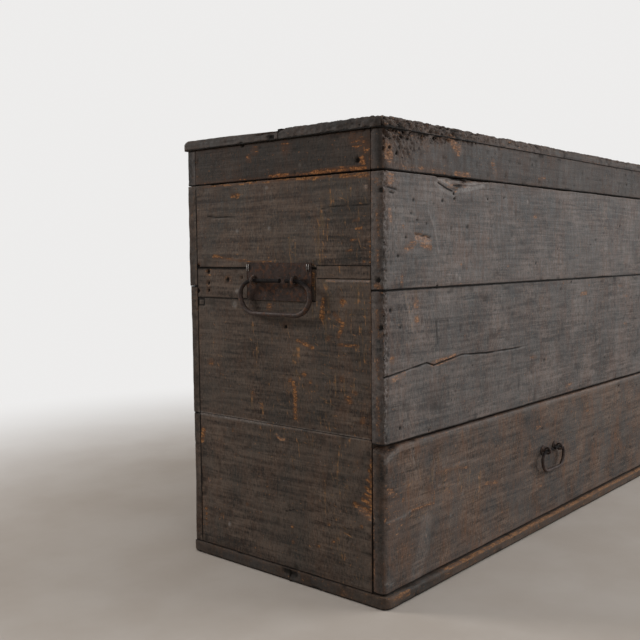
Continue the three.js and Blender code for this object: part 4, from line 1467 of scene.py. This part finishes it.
@dataclass
class Studio:
    """Camera, pale floor, backdrop and soft light."""

    eye: tuple[float, float, float] = (-1.3519, -0.8394, 0.4643)
    heading: float = 0.8600
    pitch: float = 0.0754
    roll: float = -0.0093
    lens: float = 48.58
    sensor: float = 36.0
    ambient: float = 0.24
    floor_half: float = 6.0
    panel: float = 1.0
    aim: tuple[float, float, float] = (0.0, 0.0, 0.3)

    def make(self, floor_material: bpy.types.Material) -> None:
        """Builds the camera, the floor, the world and the lamps.

        Args:
            floor_material: What the floor is dressed with.
        """
        bpy.context.scene.view_settings.view_transform = "Standard"
        self._camera()
        self._world()
        self._floor(floor_material)
        self._lamp("key", (2.2, -2.6, 1.7), (2.6, 2.4), 90.0, (0.97, 0.985, 1.0))
        self._lamp("sky", (-0.6, -0.6, 3.0), (2.4, 2.4), 26.0, (0.97, 0.985, 1.0))
        self._lamp("side", (-1.6, 2.2, 1.5), (0.8, 0.8), 35.0, (1.0, 0.97, 0.94))
        self._lamp("fill", (-2.4, -2.0, 1.3), (1.6, 1.6), 11.0, (1.0, 0.985, 0.97))

    def _camera(self) -> None:
        """Places the camera where the photograph was taken from."""
        data = bpy.data.cameras.new("camera")
        data.lens, data.sensor_width = self.lens, self.sensor
        camera = bpy.data.objects.new("camera", data)
        bpy.context.scene.collection.objects.link(camera)
        turn = Matrix.Rotation(-self.heading, 4, "Z") @ Matrix.Rotation(math.pi / 2 - self.pitch, 4, "X")
        camera.matrix_world = Matrix.Translation(self.eye) @ turn @ Matrix.Rotation(self.roll, 4, "Z")
        bpy.context.scene.camera = camera

    def _world(self) -> None:
        """A plain pale backdrop to the camera, and a softer light to everything else."""
        world = bpy.data.worlds.new("studio")
        world.use_nodes = True
        world.node_tree.nodes.clear()
        graph = Graph(world.node_tree)
        seen = graph.add("LightPath").outputs["Is Camera Ray"]
        strength = graph.on_top(seen, 1.0 - self.ambient, self.ambient)
        glow = graph.add("Background", {"Color": (*BACKDROP, 1.0), "Strength": strength})
        graph.add("OutputWorld", {"Surface": glow.outputs[0]})
        bpy.context.scene.world = world

    def _floor(self, material: bpy.types.Material) -> None:
        """A wide floor in panels that meet under the chest.

        Args:
            material: What it is dressed with.
        """
        lines = (-self.floor_half, -self.panel, 0.0, self.panel, self.floor_half)
        width = len(lines)
        points = [(x, y, 0.0) for y in lines for x in lines]
        corners = (i + j * width for j, i in product(range(width - 1), repeat=2))
        floor = mesh_piece("floor", points, [(a, a + 1, a + 1 + width, a + width) for a in corners])
        floor.data.materials.append(material)

    def _lamp(self, name: str, place: tuple[float, float, float], size: Point, power: float,
              colour: Colour) -> None:
        """Hangs a soft panel that faces the chest's middle.

        Args:
            name: The lamp's name.
            place: Where it hangs.
            size: The panel's width and height.
            power: Its power in watts.
            colour: Its light.
        """
        data = bpy.data.lights.new(name, "AREA")
        data.shape = "RECTANGLE"
        data.size, data.size_y = size
        data.energy, data.color = power, colour
        lamp = bpy.data.objects.new(name, data)
        lamp.location = place
        lamp.rotation_mode = "QUATERNION"
        lamp.rotation_quaternion = (Vector(self.aim) - Vector(place)).to_track_quat("-Z", "Y")
        bpy.context.scene.collection.objects.link(lamp)


WOODS = {
    "outer": WoodFinish(),
    # Ends and back: a darker stain than the front's, partly painted shade for faces turned from the key lamp.
    "end": WoodFinish(
        "aged_end_partly_shaded", dark_stain=(0.018, 0.014, 0.012), light_stain=(0.132, 0.098, 0.076),
        warm_stain=(0.098, 0.054, 0.035), cool_stain=(0.052, 0.050, 0.045), warmth=0.5,
        bare_dark=(0.120, 0.052, 0.022), bare_light=(0.38, 0.18, 0.068), fibre=300.0, banding=0.6,
        scuffing=0.05, gloss=0.16),
    "lid": WoodFinish(
        "aged_lid", dark_stain=(0.015, 0.012, 0.010), light_stain=(0.090, 0.073, 0.064),
        warm_stain=(0.086, 0.048, 0.033), cool_stain=(0.046, 0.047, 0.046), film=(0.190, 0.165, 0.145),
        speckle=0.15, gloss=0.26),
    # The lid's ends: a darker copy of the lid's finish, partly painted shade for faces turned from the key
    # lamp.
    "lid_end": WoodFinish(
        "aged_lid_end_partly_shaded", dark_stain=(0.014, 0.011, 0.009), light_stain=(0.068, 0.054, 0.045),
        warm_stain=(0.072, 0.040, 0.027), cool_stain=(0.034, 0.034, 0.032), film=(0.150, 0.128, 0.110),
        bare_dark=(0.125, 0.050, 0.020), bare_light=(0.42, 0.18, 0.065), rough_low=0.62, gloss=0.14),
    "drawer": WoodFinish(
        "aged_drawer", dark_stain=(0.010, 0.008, 0.007), light_stain=(0.166, 0.120, 0.094),
        warm_stain=(0.148, 0.076, 0.044), cool_stain=(0.050, 0.060, 0.064), warmth=0.8, chill=0.5,
        banding=0.46, speckle=0.16, scuffing=0.12, gloss=0.2),
    "base": WoodFinish(
        "aged_base", dark_stain=(0.022, 0.019, 0.017), light_stain=(0.090, 0.070, 0.056),
        warm_stain=(0.100, 0.052, 0.030), bare_dark=(0.135, 0.066, 0.032), bare_light=(0.26, 0.135, 0.065),
        speckle=0.2, gloss=0.18),
    "inner": WoodFinish(
        "inner_board", dark_stain=(0.075, 0.049, 0.032), light_stain=(0.19, 0.13, 0.088),
        warm_stain=(0.17, 0.10, 0.058), cool_stain=(0.12, 0.10, 0.08), speckle=0.1, rough_low=0.66,
        rough_high=0.82),
}
IRONS = {
    "iron": IronFinish(),
    # The eyes: lighter rust and more worn crests than the other iron, partly a painted highlight.
    "eye": IronFinish(
        "rusty_iron", brown=(0.080, 0.048, 0.036), rust=(0.17, 0.072, 0.034), bright=(0.25, 0.20, 0.17),
        shine=0.34, rust_share=0.45),
    "plate": IronFinish(
        "sheet_iron", dark=(0.013, 0.008, 0.007), brown=(0.052, 0.028, 0.021), rust=(0.105, 0.042, 0.020),
        shine=0.16, rust_share=0.4, pitting=0.3, metal=0.08, gloss=0.16, rough_low=0.55, rough_high=0.72),
    "bright": IronFinish(
        "worn_iron", dark=(0.07, 0.06, 0.056), brown=(0.15, 0.135, 0.125), bright=(0.46, 0.44, 0.42),
        metal=0.6, rust_share=0.1, shine=0.7, pitting=0.08, rough_low=0.36, rough_high=0.52),
}


class Workshop:
    """Holds the finishes and dresses pieces with them."""

    def __init__(self) -> None:
        """Builds every material."""
        effects = Effects()
        finishes = {**WOODS, **IRONS, "floor": FloorFinish()}
        self.materials = {key: finish.build(effects) for key, finish in finishes.items()}

    @staticmethod
    def slot(finish: str) -> str:
        """The record's slot for a finish.

        Args:
            finish: Key of a material.

        Returns:
            Name of the slot.
        """
        if finish in IRONS:
            return "wrought_iron"
        return "inner_wood" if finish == "inner" else "aged_wood"

    def dress(self, piece: bpy.types.Object, finish: str) -> None:
        """Gives a piece its material.

        Args:
            piece: The piece.
            finish: Key of its material.
        """
        piece.data.materials.clear()
        piece.data.materials.append(self.materials[finish])
        LOG.info("%s dressed as %s, %d faces", piece.name, finish, len(piece.data.polygons))

    def lay_planks(self, planks: Iterable[Plank]) -> None:
        """Makes and dresses boards."""
        for plank in planks:
            self.dress(plank.make(), plank.finish)


def both_ends(edge: Side, radius: float) -> tuple[tuple[Side, Side, float], ...]:
    """The corners that a side makes with the two ends, with one radius."""
    return tuple((edge, end, radius) for end in ENDS)


# What the plain boards inside have in common.
INNER = {"finish": "inner", "step": 6, "wear": 0.3, "rim": 1.5, "marked": ()}


@dataclass
class Assembly:
    """A part of the chest, which is made and dressed in the workshop. Its boards' lengths are in millimetres.

    Attributes:
        shop: The workshop.
    """

    shop: Workshop

    def make(self) -> None:
        """Builds every piece of it."""
        raise NotImplementedError


@dataclass
class Carcass(Assembly):
    """The chest's body: base, front, ends, back, the repair strips and the compartment's floor."""

    corner: float = 7
    base_corner: float = 16
    base_nose: float = 5
    base_ledge: float = 0.5
    base_seam: float = 0.6
    front_crack: tuple[Point, ...] = (
        (-490, 303), (-461, 307), (-430, 310), (-371, 316), (-354, 311), (-300, 317), (-281, 319),
        (-211, 315), (-129, 314), (-80, 315),
    )
    front_tear: tuple[Point, ...] = (
        (-352, 571), (-340, 562), (-322, 556), (-308, 549), (-299, 545), (-291, 553), (-268, 557),
        (-240, 561), (-216, 565), (-203, 571),
    )
    strip_depth: float = 9.4
    wide_strip: tuple[Point, Point] = ((-72.9, 400.3), (166.4, 460.0))
    narrow_strip: tuple[Point, Point] = ((-166.9, 431.6), (-74.6, 450.4))
    upper_joint: float = 440.0
    strip_top: float = 460.0
    tight_arris: float = 0.35
    lid_joint: float = 0.35
    housing: tuple[Point, Point] = ((-200.0, 210.75), (200.0, 240.0))
    housing_depth: float = 8.0

    def make(self) -> None:
        """Builds every board of the body."""
        for lay in (self._front, self._back, self._ends, self._strips, self._base, self._compartment):
            lay()

    def _front(self) -> None:
        """The two boards above the drawer."""
        shared = {"corners": both_ends(FRONT, self.corner), "relief": 0.3}
        self.shop.lay_planks([
            Plank("upper_front_plank", "front_upper_board", "carcass", ALONG_X, (FRONT, LEFT, RIGHT, TOP),
                  dense=((0, -470, -440, 1.4), (0, -440, -358, 2), (0, -358, -196, 1.5), (2, 430, 541, 2),
                         (2, 541, 568.5, 1)),
                  splinters=(Splinter(FRONT, self.front_tear),), rub=0.42, arris=1.9, wear=1.1, seed=2,
                  **shared),
            Plank("middle_front_plank", "front_middle_board", "carcass", ALONG_X, (FRONT, LEFT, RIGHT),
                  dense=((0, -470, -440, 1.4), (0, -440, -300, 2), (2, 225, 430, 2)), rub=0.35, arris=1.8,
                  wear=1.2, cracks=(Crack(FRONT, self.front_crack, 1.7, 3.6),), seed=3, **shared),
        ])

    def _back(self) -> None:
        """The three boards of the back. The upper one meets the lid."""
        joint = {(side, TOP): self.lid_joint for side in Side}
        self.shop.lay_planks(
            Plank(f"{level}_back_plank", f"back_{level}_board", "carcass", ALONG_X, (BACK, *ENDS, *above),
                  corners=both_ends(BACK, self.corner), edges=edges, finish="end", step=4.5, rub=0.35,
                  seed=seed)
            for level, above, edges, seed in (("upper", (TOP,), joint, 4), ("middle", (), {}, 5),
                                              ("lower", (), {}, 6)))

    def _ends(self) -> None:
        """The three boards of each end. The left one, which the photograph shows, has the finer mesh.

        The joint between an end's middle and lower boards is still tight, with dust in it.
        """
        levels = (("upper", (TOP,), ()), ("middle", (), (BOTTOM,)), ("lower", (), (TOP,)))
        self.shop.lay_planks(
            Plank(f"{level}_{side}_end_plank", f"{side}_end_{level}_board", "carcass", ALONG_Y,
                  (outer, *above), finish="end", step=step, arris=1.7, wear=0.7, rub=0.45, relief=0.35,
                  clean=tight, edges={(outer, joint): self.tight_arris for joint in tight},
                  pockets=self._pockets(side, level, inner), seed=first_seed + number)
            for side, outer, inner, step, first_seed in (("left", LEFT, RIGHT, 2.2, 7),
                                                         ("right", RIGHT, LEFT, 3.4, 27))
            for number, (level, above, tight) in enumerate(levels))

    def _strips(self) -> None:
        """The two strips let into the left end."""
        self.shop.lay_planks(
            Plank(f"{name}_repair_strip", f"left_end_{name}_strip", "carcass", ALONG_Y, (LEFT,), finish="end",
                  step=2.2, wear=0.4, rim=1.5, arris=arris, rub=rub, grimy=grimy, seed=seed)
            for name, arris, rub, grimy, seed in (("wide", 0.6, 0.25, 0.9, 12),
                                                  ("narrow", 0.8, 0.3, 0.55, 13)))

    def _base(self) -> None:
        """The two base boards, rounded outside and tight at the seam between them."""
        for name, edge, seam, rub, bare_from, seed in (("front", FRONT, BACK, 0.36, -330, 14),
                                                       ("back", BACK, FRONT, 0.3, -468, 15)):
            edges = {(side, level): self.base_nose for side in UPRIGHT for level in (TOP, BOTTOM)}
            edges |= {(seam, TOP): self.base_seam, (seam, BOTTOM): self.base_seam,
                      (LEFT, TOP): self.base_ledge, (RIGHT, TOP): self.base_ledge}
            ledge = Mark(((bare_from, 190.5 * edge.sign), (468, 190.5 * edge.sign)), 3.0, bare=0.85)
            self.shop.lay_planks([Plank(
                f"base_{name}_plank", f"base_{name}_board", "carcass", ALONG_X, (edge, LEFT, RIGHT, TOP),
                finish="base", marked=(edge, LEFT), own_marks=((TOP, ledge),), edges=edges, rim=6, wear=0.9,
                step=3.5, rub=rub, corners=both_ends(edge, self.base_corner), seed=seed)])

    def _compartment(self) -> None:
        """The two boards of the compartment's floor."""
        self.shop.lay_planks(
            Plank(f"compartment_{name}_plank", f"compartment_floor_{name}_board", "carcass", ALONG_X, (TOP,),
                  arris=0.8, relief=0.3, seed=seed, **INNER) for name, seed in (("front", 16), ("back", 17)))

    def _pockets(self, side: str, level: str, inner: Side) -> tuple[Pocket, ...]:
        """The recesses of one end board: for the repair strips, and for the compartment's floor.

        Args:
            side: left or right.
            level: upper, middle or lower.
            inner: The end's inner side.

        Returns:
            Its recesses, none on most boards.
        """
        if level == "lower":
            return (Pocket(inner, *self.housing, self.housing_depth),)
        if side == "right":
            return ()
        if level == "upper":
            (left, _), high = self.narrow_strip
            return (Pocket(LEFT, (left, self.upper_joint), high, self.strip_depth),)
        return tuple(Pocket(LEFT, low, (right, self.strip_top), self.strip_depth)
                     for low, (right, _) in (self.wide_strip, self.narrow_strip))


@dataclass
class Lid(Assembly):
    """The lid: four rim boards, a top of two boards and the battens under it."""

    corner: float = 11
    back_corner: float = 9
    top_front_corner: float = 20
    top_back_corner: float = 11.5
    top_round: float = 9
    top_seam: float = 0.8
    rim_top: float = 0.9
    body_joint: float = 0.35
    tight_arris: float = 0.18
    swell: float = 1.8

    def make(self) -> None:
        """Builds every board of the lid."""
        planks = [
            Plank("lid_front_rim_plank", "lid_front_rim", "lid", ALONG_X, (FRONT, LEFT, RIGHT), finish="lid",
                  corners=both_ends(FRONT, self.corner), dense=((0, -474, -300, 1.5),), step=2, arris=2,
                  wear=1.2, rub=0.5, ragged=0.7, edges={(FRONT, TOP): self.tight_arris}, clean=(TOP,),
                  relief=0.3, seed=30),
            Plank("lid_back_rim_plank", "lid_back_rim", "lid", ALONG_X, (BACK, LEFT, RIGHT), finish="lid",
                  corners=both_ends(BACK, self.back_corner), step=4, rub=0.35,
                  edges={(side, BOTTOM): self.body_joint for side in Side}, seed=31),
        ]
        for side, outer, step, seed in (("left", LEFT, 2, 32), ("right", RIGHT, 3.4, 33)):
            planks += [
                Plank(f"lid_{side}_rim_plank", f"lid_{side}_rim", "lid", ALONG_Y, (outer,), finish="lid_end",
                      step=step, arris=1.9, wear=0.8, grimy=0.6, rub=0.5, edges={(outer, TOP): self.rim_top},
                      ragged=0.5, relief=0.35, seed=seed),
                Plank(f"lid_{side}_batten_plank", f"lid_{side}_batten", "lid", ALONG_Y, (BOTTOM,),
                      **{**INNER, "step": 5, "wear": 0.4, "rim": 2}, arris=1.2, relief=0.3, seed=seed + 2),
            ]
        for name, edge, seam, corner, ragged, swell, flat, seed in (
            ("front", FRONT, BACK, self.top_front_corner, 2.2, 0.0, (70, 17, 3.2), 36),
            ("back", BACK, FRONT, self.top_back_corner, 1.0, self.swell, (320, 105, 3.2), 37),
        ):
            edges = {(side, TOP): self.top_round for side in (edge, LEFT, RIGHT)}
            edges |= {(seam, TOP): self.top_seam, (FRONT, BOTTOM): self.tight_arris}
            planks.append(Plank(
                f"lid_top_{name}_plank", f"lid_top_{name}_board", "lid", ALONG_X, (TOP, edge, LEFT, RIGHT),
                finish="lid", arris=0.8, edges=edges, rim=10.5, wear=1.5, relief=0.6, rub=0.4, ragged=ragged,
                dense=((0, -463, -300, 1.8),), knocks=(Knock((LEFT, seam, TOP), flat, 0.3),), clean=(BOTTOM,),
                swell=swell, corners=both_ends(edge, corner), seed=seed))
        self.shop.lay_planks(planks)


@dataclass
class Drawer(Assembly):
    """The full-width drawer: a thick front with polished edges, and a plain box behind it."""

    corner: float = 12
    top_corner: float = 9
    top_round: float = 4.2
    bottom_round: float = 2.4
    end_round: float = 3

    def make(self) -> None:
        """Builds the drawer's boards."""
        edges = {(FRONT, TOP): self.top_round, (FRONT, BOTTOM): self.bottom_round,
                 (LEFT, TOP): self.end_round, (RIGHT, TOP): self.end_round}
        front = Plank("drawer_front_plank", "drawer_front", "drawer", ALONG_X, (FRONT, LEFT, RIGHT, TOP),
                      finish="drawer", edges=edges, rim=5.5, wear=0.9, rub=0.4, relief=0.35,
                      corners=both_ends(FRONT, self.corner) + both_ends(TOP, self.top_corner),
                      marked=(FRONT, LEFT, RIGHT), dense=((0, -464, -300, 2), (2, 192, 211, 1.3)),
                      knocks=tuple(Knock((end, FRONT, TOP), reach)
                                   for end, reach in ((LEFT, (42, 26, 15)), (RIGHT, (40, 22, 11)))),
                      seed=40)
        box = [Plank(f"drawer_{name}_plank", f"drawer_{name}", "drawer", grain, shown, arris=0.9, relief=0.25,
                     seed=seed, **INNER)
               for name, grain, shown, seed in (("left_side", ALONG_Y, (LEFT, TOP), 41),
                                                ("right_side", ALONG_Y, (RIGHT, TOP), 42),
                                                ("back", ALONG_X, (BACK, TOP), 43),
                                                ("bottom", ALONG_X, (TOP,), 44))]
        self.shop.lay_planks([front, *box])


def tube_faces(rings: int, sides: int, start: int = 0) -> list[tuple[int, ...]]:
    """Faces of a closed tube.

    Args:
        rings: Number of its rings.
        sides: Points to a ring.
        start: Index of its first point.

    Returns:
        The faces between the rings, and the two ends.
    """
    faces = []
    for ring, place in product(range(rings - 1), range(sides)):
        first = start + ring * sides
        a, b = first + place, first + (place + 1) % sides
        faces.append((a, b, b + sides, a + sides))
    last = start + (rings - 1) * sides
    return [*faces, tuple(range(start, start + sides))[::-1], tuple(range(last, last + sides))]


def turned_out(mesh: bpy.types.Mesh) -> None:
    """Turns a closed mesh's faces outwards if its volume comes out negative.

    Args:
        mesh: The mesh.
    """
    solid = bmesh.new()
    solid.from_mesh(mesh)
    if solid.calc_volume(signed=True) < 0:
        mesh.flip_normals()
    solid.free()


@dataclass
class Bail(Assembly):
    """A bail of round rod: a straight upper bar, open between the eyes, and a grip that hangs below it.

    It stands for a bail of the frame. Across is the axis that the bail spans.
    """

    piece: str
    node: str
    body: str
    across: int
    grip_width: float = 134 * MM
    grip_drop: float = 47 * MM
    grip_radius: float = 3.6 * MM
    bar_radius: float = 2.9 * MM
    bend: float = 28 * MM
    upper_bend: float = 20 * MM
    end_gap: float = 11 * MM
    gap_shift: float = -17 * MM
    flip: float = 1.0
    sides: int = 22
    upset: float = 0.55 * MM
    upset_length: float = 4 * MM
    hammering: float = 0.28 * MM
    # How far down from the upper bar the painted shade reaches.
    painted_shade_reach: float = 7 * MM

    SHARP = 50.0
    CUT_SHARE = 0.86
    SWELL_SHARE = 0.45

    def path(self) -> Array:
        """The rod's centre line in the bail's plane.

        Returns:
            Its places, from one cut end to the other.
        """
        half = self.grip_width / 2
        centre = np.array((half - self.bend, -self.upper_bend))
        upper = np.linspace(math.pi / 2, 0, 22)
        lower = np.linspace(0, -math.pi / 2, 26)[1:]
        bend = np.array([
            centre + (self.bend * math.cos(turn), rise * math.sin(turn))
            for turns, rise in ((upper, self.upper_bend), (lower, self.grip_drop - self.upper_bend))
            for turn in turns
        ])
        near, far = self.gap_shift + self.end_gap / 2, self.gap_shift - self.end_gap / 2
        top = np.linspace((near, 0.0), bend[0], 24)[:-1]
        bottom = np.linspace(bend[-1], bend[-1] * (-1, 1), 40)[1:-1]
        other = bend[::-1] * (-1, 1)
        last = np.linspace(other[-1], (far, 0.0), 24)[1:]
        return np.concatenate([top, bend, bottom, other, last])

    def make(self) -> None:
        """Sweeps the rod, with hammer marks and slightly upset ends."""
        path = self.path()
        points = self._swept(path)
        low, high = (np.array(corner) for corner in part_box(self.node))
        middle = (low + high) / 2
        out = 1 - self.across
        placed = np.zeros_like(points)
        placed[:, out] = points[:, 0] + middle[out]
        placed[:, self.across] = points[:, 1] * self.flip + middle[self.across]
        placed[:, 2] = points[:, 2] + low[2] + self.grip_drop + self.grip_radius
        piece = mesh_piece(self.piece, placed, tube_faces(len(path), self.sides), self.SHARP)
        piece.data.validate()
        turned_out(piece.data)
        # Painted shade: the upper bar and the rod just below it are marked to be darkened to near-black.
        painted_shade = np.clip(1.5 - np.abs(points[:, 2]) / self.painted_shade_reach, 0, 1) * 0.95
        piece.data.attributes.new("painted_shade", "FLOAT", "POINT").data.foreach_set("value", painted_shade.astype(np.float32))
        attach(piece, self.body)
        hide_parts(self.node)
        self.shop.dress(piece, "iron")

    def _swept(self, path: Array) -> Array:
        """The rod's surface round its centre line.

        Args:
            path: The centre line.

        Returns:
            The points, ring by ring: out of the bail's plane, across and up.
        """
        along = np.concatenate([[0], np.cumsum(np.linalg.norm(np.diff(path, axis=0), axis=1))])
        share = np.clip(-path[:, 1] / self.grip_drop / self.SWELL_SHARE, 0, 1)
        radius = self.bar_radius + (self.grip_radius - self.bar_radius) * share * share * (3 - 2 * share)
        near_end = np.minimum(along, along[-1] - along)
        radius = radius + self.upset * np.exp(-((near_end / self.upset_length) ** 2))
        radius[[0, -1]] *= self.CUT_SHARE
        tangent = np.gradient(path, axis=0)
        tangent /= np.linalg.norm(tangent, axis=1, keepdims=True)
        normal = np.stack([-tangent[:, 1], tangent[:, 0]], 1)
        turns = np.arange(self.sides) / self.sides * 2 * math.pi
        rings = []
        for place, across, size in zip(path, normal, radius, strict=True):
            flat = place + across * (np.cos(turns) * size)[:, None]
            rings.append(np.stack([np.sin(turns) * size, flat[:, 0], flat[:, 1]], 1))
        points = np.concatenate(rings)
        centres = np.repeat(np.stack([np.zeros(len(path)), path[:, 0], path[:, 1]], 1), self.sides, axis=0)
        outward = (points - centres) / np.linalg.norm(points - centres, axis=1, keepdims=True)
        marked = NOISE.even(points + 0.3, 9) + 0.5 * NOISE.even(points - 0.2, 3.5)
        return points - outward * (self.hammering * np.clip(0.4 + marked, 0, 1.5))[:, None]


@dataclass
class ForgedPiece(Assembly):
    """An iron piece of the frame, softened and hammered by modifiers, in its own place."""

    node: str
    cell: float = 0.55 * MM
    smoothing: int = 5
    hammering: float = 0.35 * MM
    wave: float = 6 * MM
    finish: str = "iron"

    def make(self) -> None:
        """Adds the modifiers and the finish."""
        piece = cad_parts[self.node]
        remesh = piece.modifiers.new("rounded", "REMESH")
        remesh.mode, remesh.voxel_size, remesh.use_smooth_shade = "VOXEL", self.cell, True
        smooth = piece.modifiers.new("softened", "SMOOTH")
        smooth.factor, smooth.iterations = 0.5, self.smoothing
        texture = bpy.data.textures.get("hammer_marks") or bpy.data.textures.new("hammer_marks", "CLOUDS")
        texture.noise_scale = self.wave
        displace = piece.modifiers.new("hammered", "DISPLACE")
        displace.texture, displace.texture_coords = texture, "LOCAL"
        displace.strength, displace.mid_level = self.hammering, 0.62
        self.shop.dress(piece, self.finish)


@dataclass
class EndHandle(Assembly):
    """A bail handle at one end: plate, two split eyes, bail and the staples that pin the plate."""

    side: Side
    staple_places: tuple[Point, ...] = ((54.5, 446.5), (-61.0, 446.5))
    staple_length: float = 11 * MM
    staple_radius: float = 0.95 * MM
    staple_spread: float = 1.7 * MM
    staple_rings: int = 9
    staple_sides: int = 12
    upper_corner: float = 3
    lower_corner: float = 4

    @property
    def name(self) -> str:
        """left or right."""
        return self.side.name.lower()

    def make(self) -> None:
        """Builds the handle's pieces."""
        name = self.name
        corners = tuple((side, level, radius)
                        for level, radius in ((TOP, self.upper_corner), (BOTTOM, self.lower_corner))
                        for side in (FRONT, BACK))
        plate = Plank(f"{name}_handle_back_plate", f"{name}_handle_plate", "carcass", ALONG_Y,
                      (self.side,), finish="plate", step=1.8, rim=0.7, arris=0.5, wear=0.2, relief=0.6,
                      nicked=0.5, marked=(), lined=False, seed=50, corners=corners)
        self.shop.lay_planks([plate])
        for place in ("front", "back"):
            ForgedPiece(self.shop, f"{name}_handle_{place}_eye", finish="eye").make()
        Bail(self.shop, f"{name}_grip_bail", f"{name}_handle_bail", f"{name}_handle", across=1,
             flip=-float(self.side.sign)).make()
        for number, (across, up) in enumerate(self.staple_places, 1):
            self._staple(f"{name}_plate_staple_{number}", across * MM, up * MM)

    def _staple(self, piece_name: str, across: float, up: float) -> None:
        """Two short prongs hammered over side by side, proud of the plate.

        Args:
            piece_name: Name of the piece.
            across: Place of its middle across the end.
            up: Height of its middle.
        """
        sign = self.side.sign
        low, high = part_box(f"{self.name}_handle_plate")
        face = (low if sign < 0 else high).x
        turns = np.arange(self.staple_sides) / self.staple_sides * 2 * math.pi
        points, faces = [], []
        for offset in (-1.0, 1.0):
            faces += tube_faces(self.staple_rings, self.staple_sides, len(points))
            for share in np.linspace(-1, 1, self.staple_rings):
                radius = self.staple_radius * math.sqrt(max(1 - abs(share) ** 3, 0.05))
                lift = self.staple_radius * 0.7 * (1 - share * share)
                points += [(face + sign * (lift + 0.55 * radius * math.sin(turn)),
                            across + offset * self.staple_spread + radius * math.cos(turn),
                            up + share * self.staple_length / 2) for turn in turns]
        piece = mesh_piece(piece_name, points, faces)
        turned_out(piece.data)
        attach(piece, "carcass")
        self.shop.dress(piece, "bright")


@dataclass
class DrawerPull(Assembly):
    """The small bail pull at the middle of the drawer."""

    def make(self) -> None:
        """Builds the pull's pieces."""
        for place in ("left", "right"):
            ForgedPiece(self.shop, f"drawer_pull_{place}_eye", cell=0.45 * MM, hammering=0.25 * MM).make()
        Bail(self.shop, "drawer_grip_bail", "drawer_pull_bail", "drawer_pull", across=0, grip_width=78 * MM,
             grip_drop=34 * MM, grip_radius=2.9 * MM, bar_radius=2.5 * MM, bend=17 * MM, upper_bend=14 * MM,
             end_gap=8 * MM, gap_shift=0.0, sides=20, upset=0.4 * MM, upset_length=3 * MM).make()


@dataclass
class StrapHinges(Assembly):
    """The two strap hinges at the back."""

    def make(self) -> None:
        """Forges both hinges' leaves and pins."""
        for side, part in product(("left", "right"), ("body_leaf", "lid_leaf", "pin")):
            ForgedPiece(self.shop, f"{side}_hinge_{part}", 0.6 * MM, smoothing=3, hammering=0.3 * MM).make()


def main() -> None:
    """Builds the studio and every sub-assembly."""
    logging.basicConfig(level=logging.INFO, format="%(name)s: %(message)s")
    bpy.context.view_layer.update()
    shop = Workshop()
    Studio().make(shop.materials["floor"])
    ends = [EndHandle(shop, side) for side in ENDS]
    for assembly in (Carcass(shop), Lid(shop), Drawer(shop), *ends, DrawerPull(shop), StrapHinges(shop)):
        assembly.make()


if __name__ == "__main__":
    main()
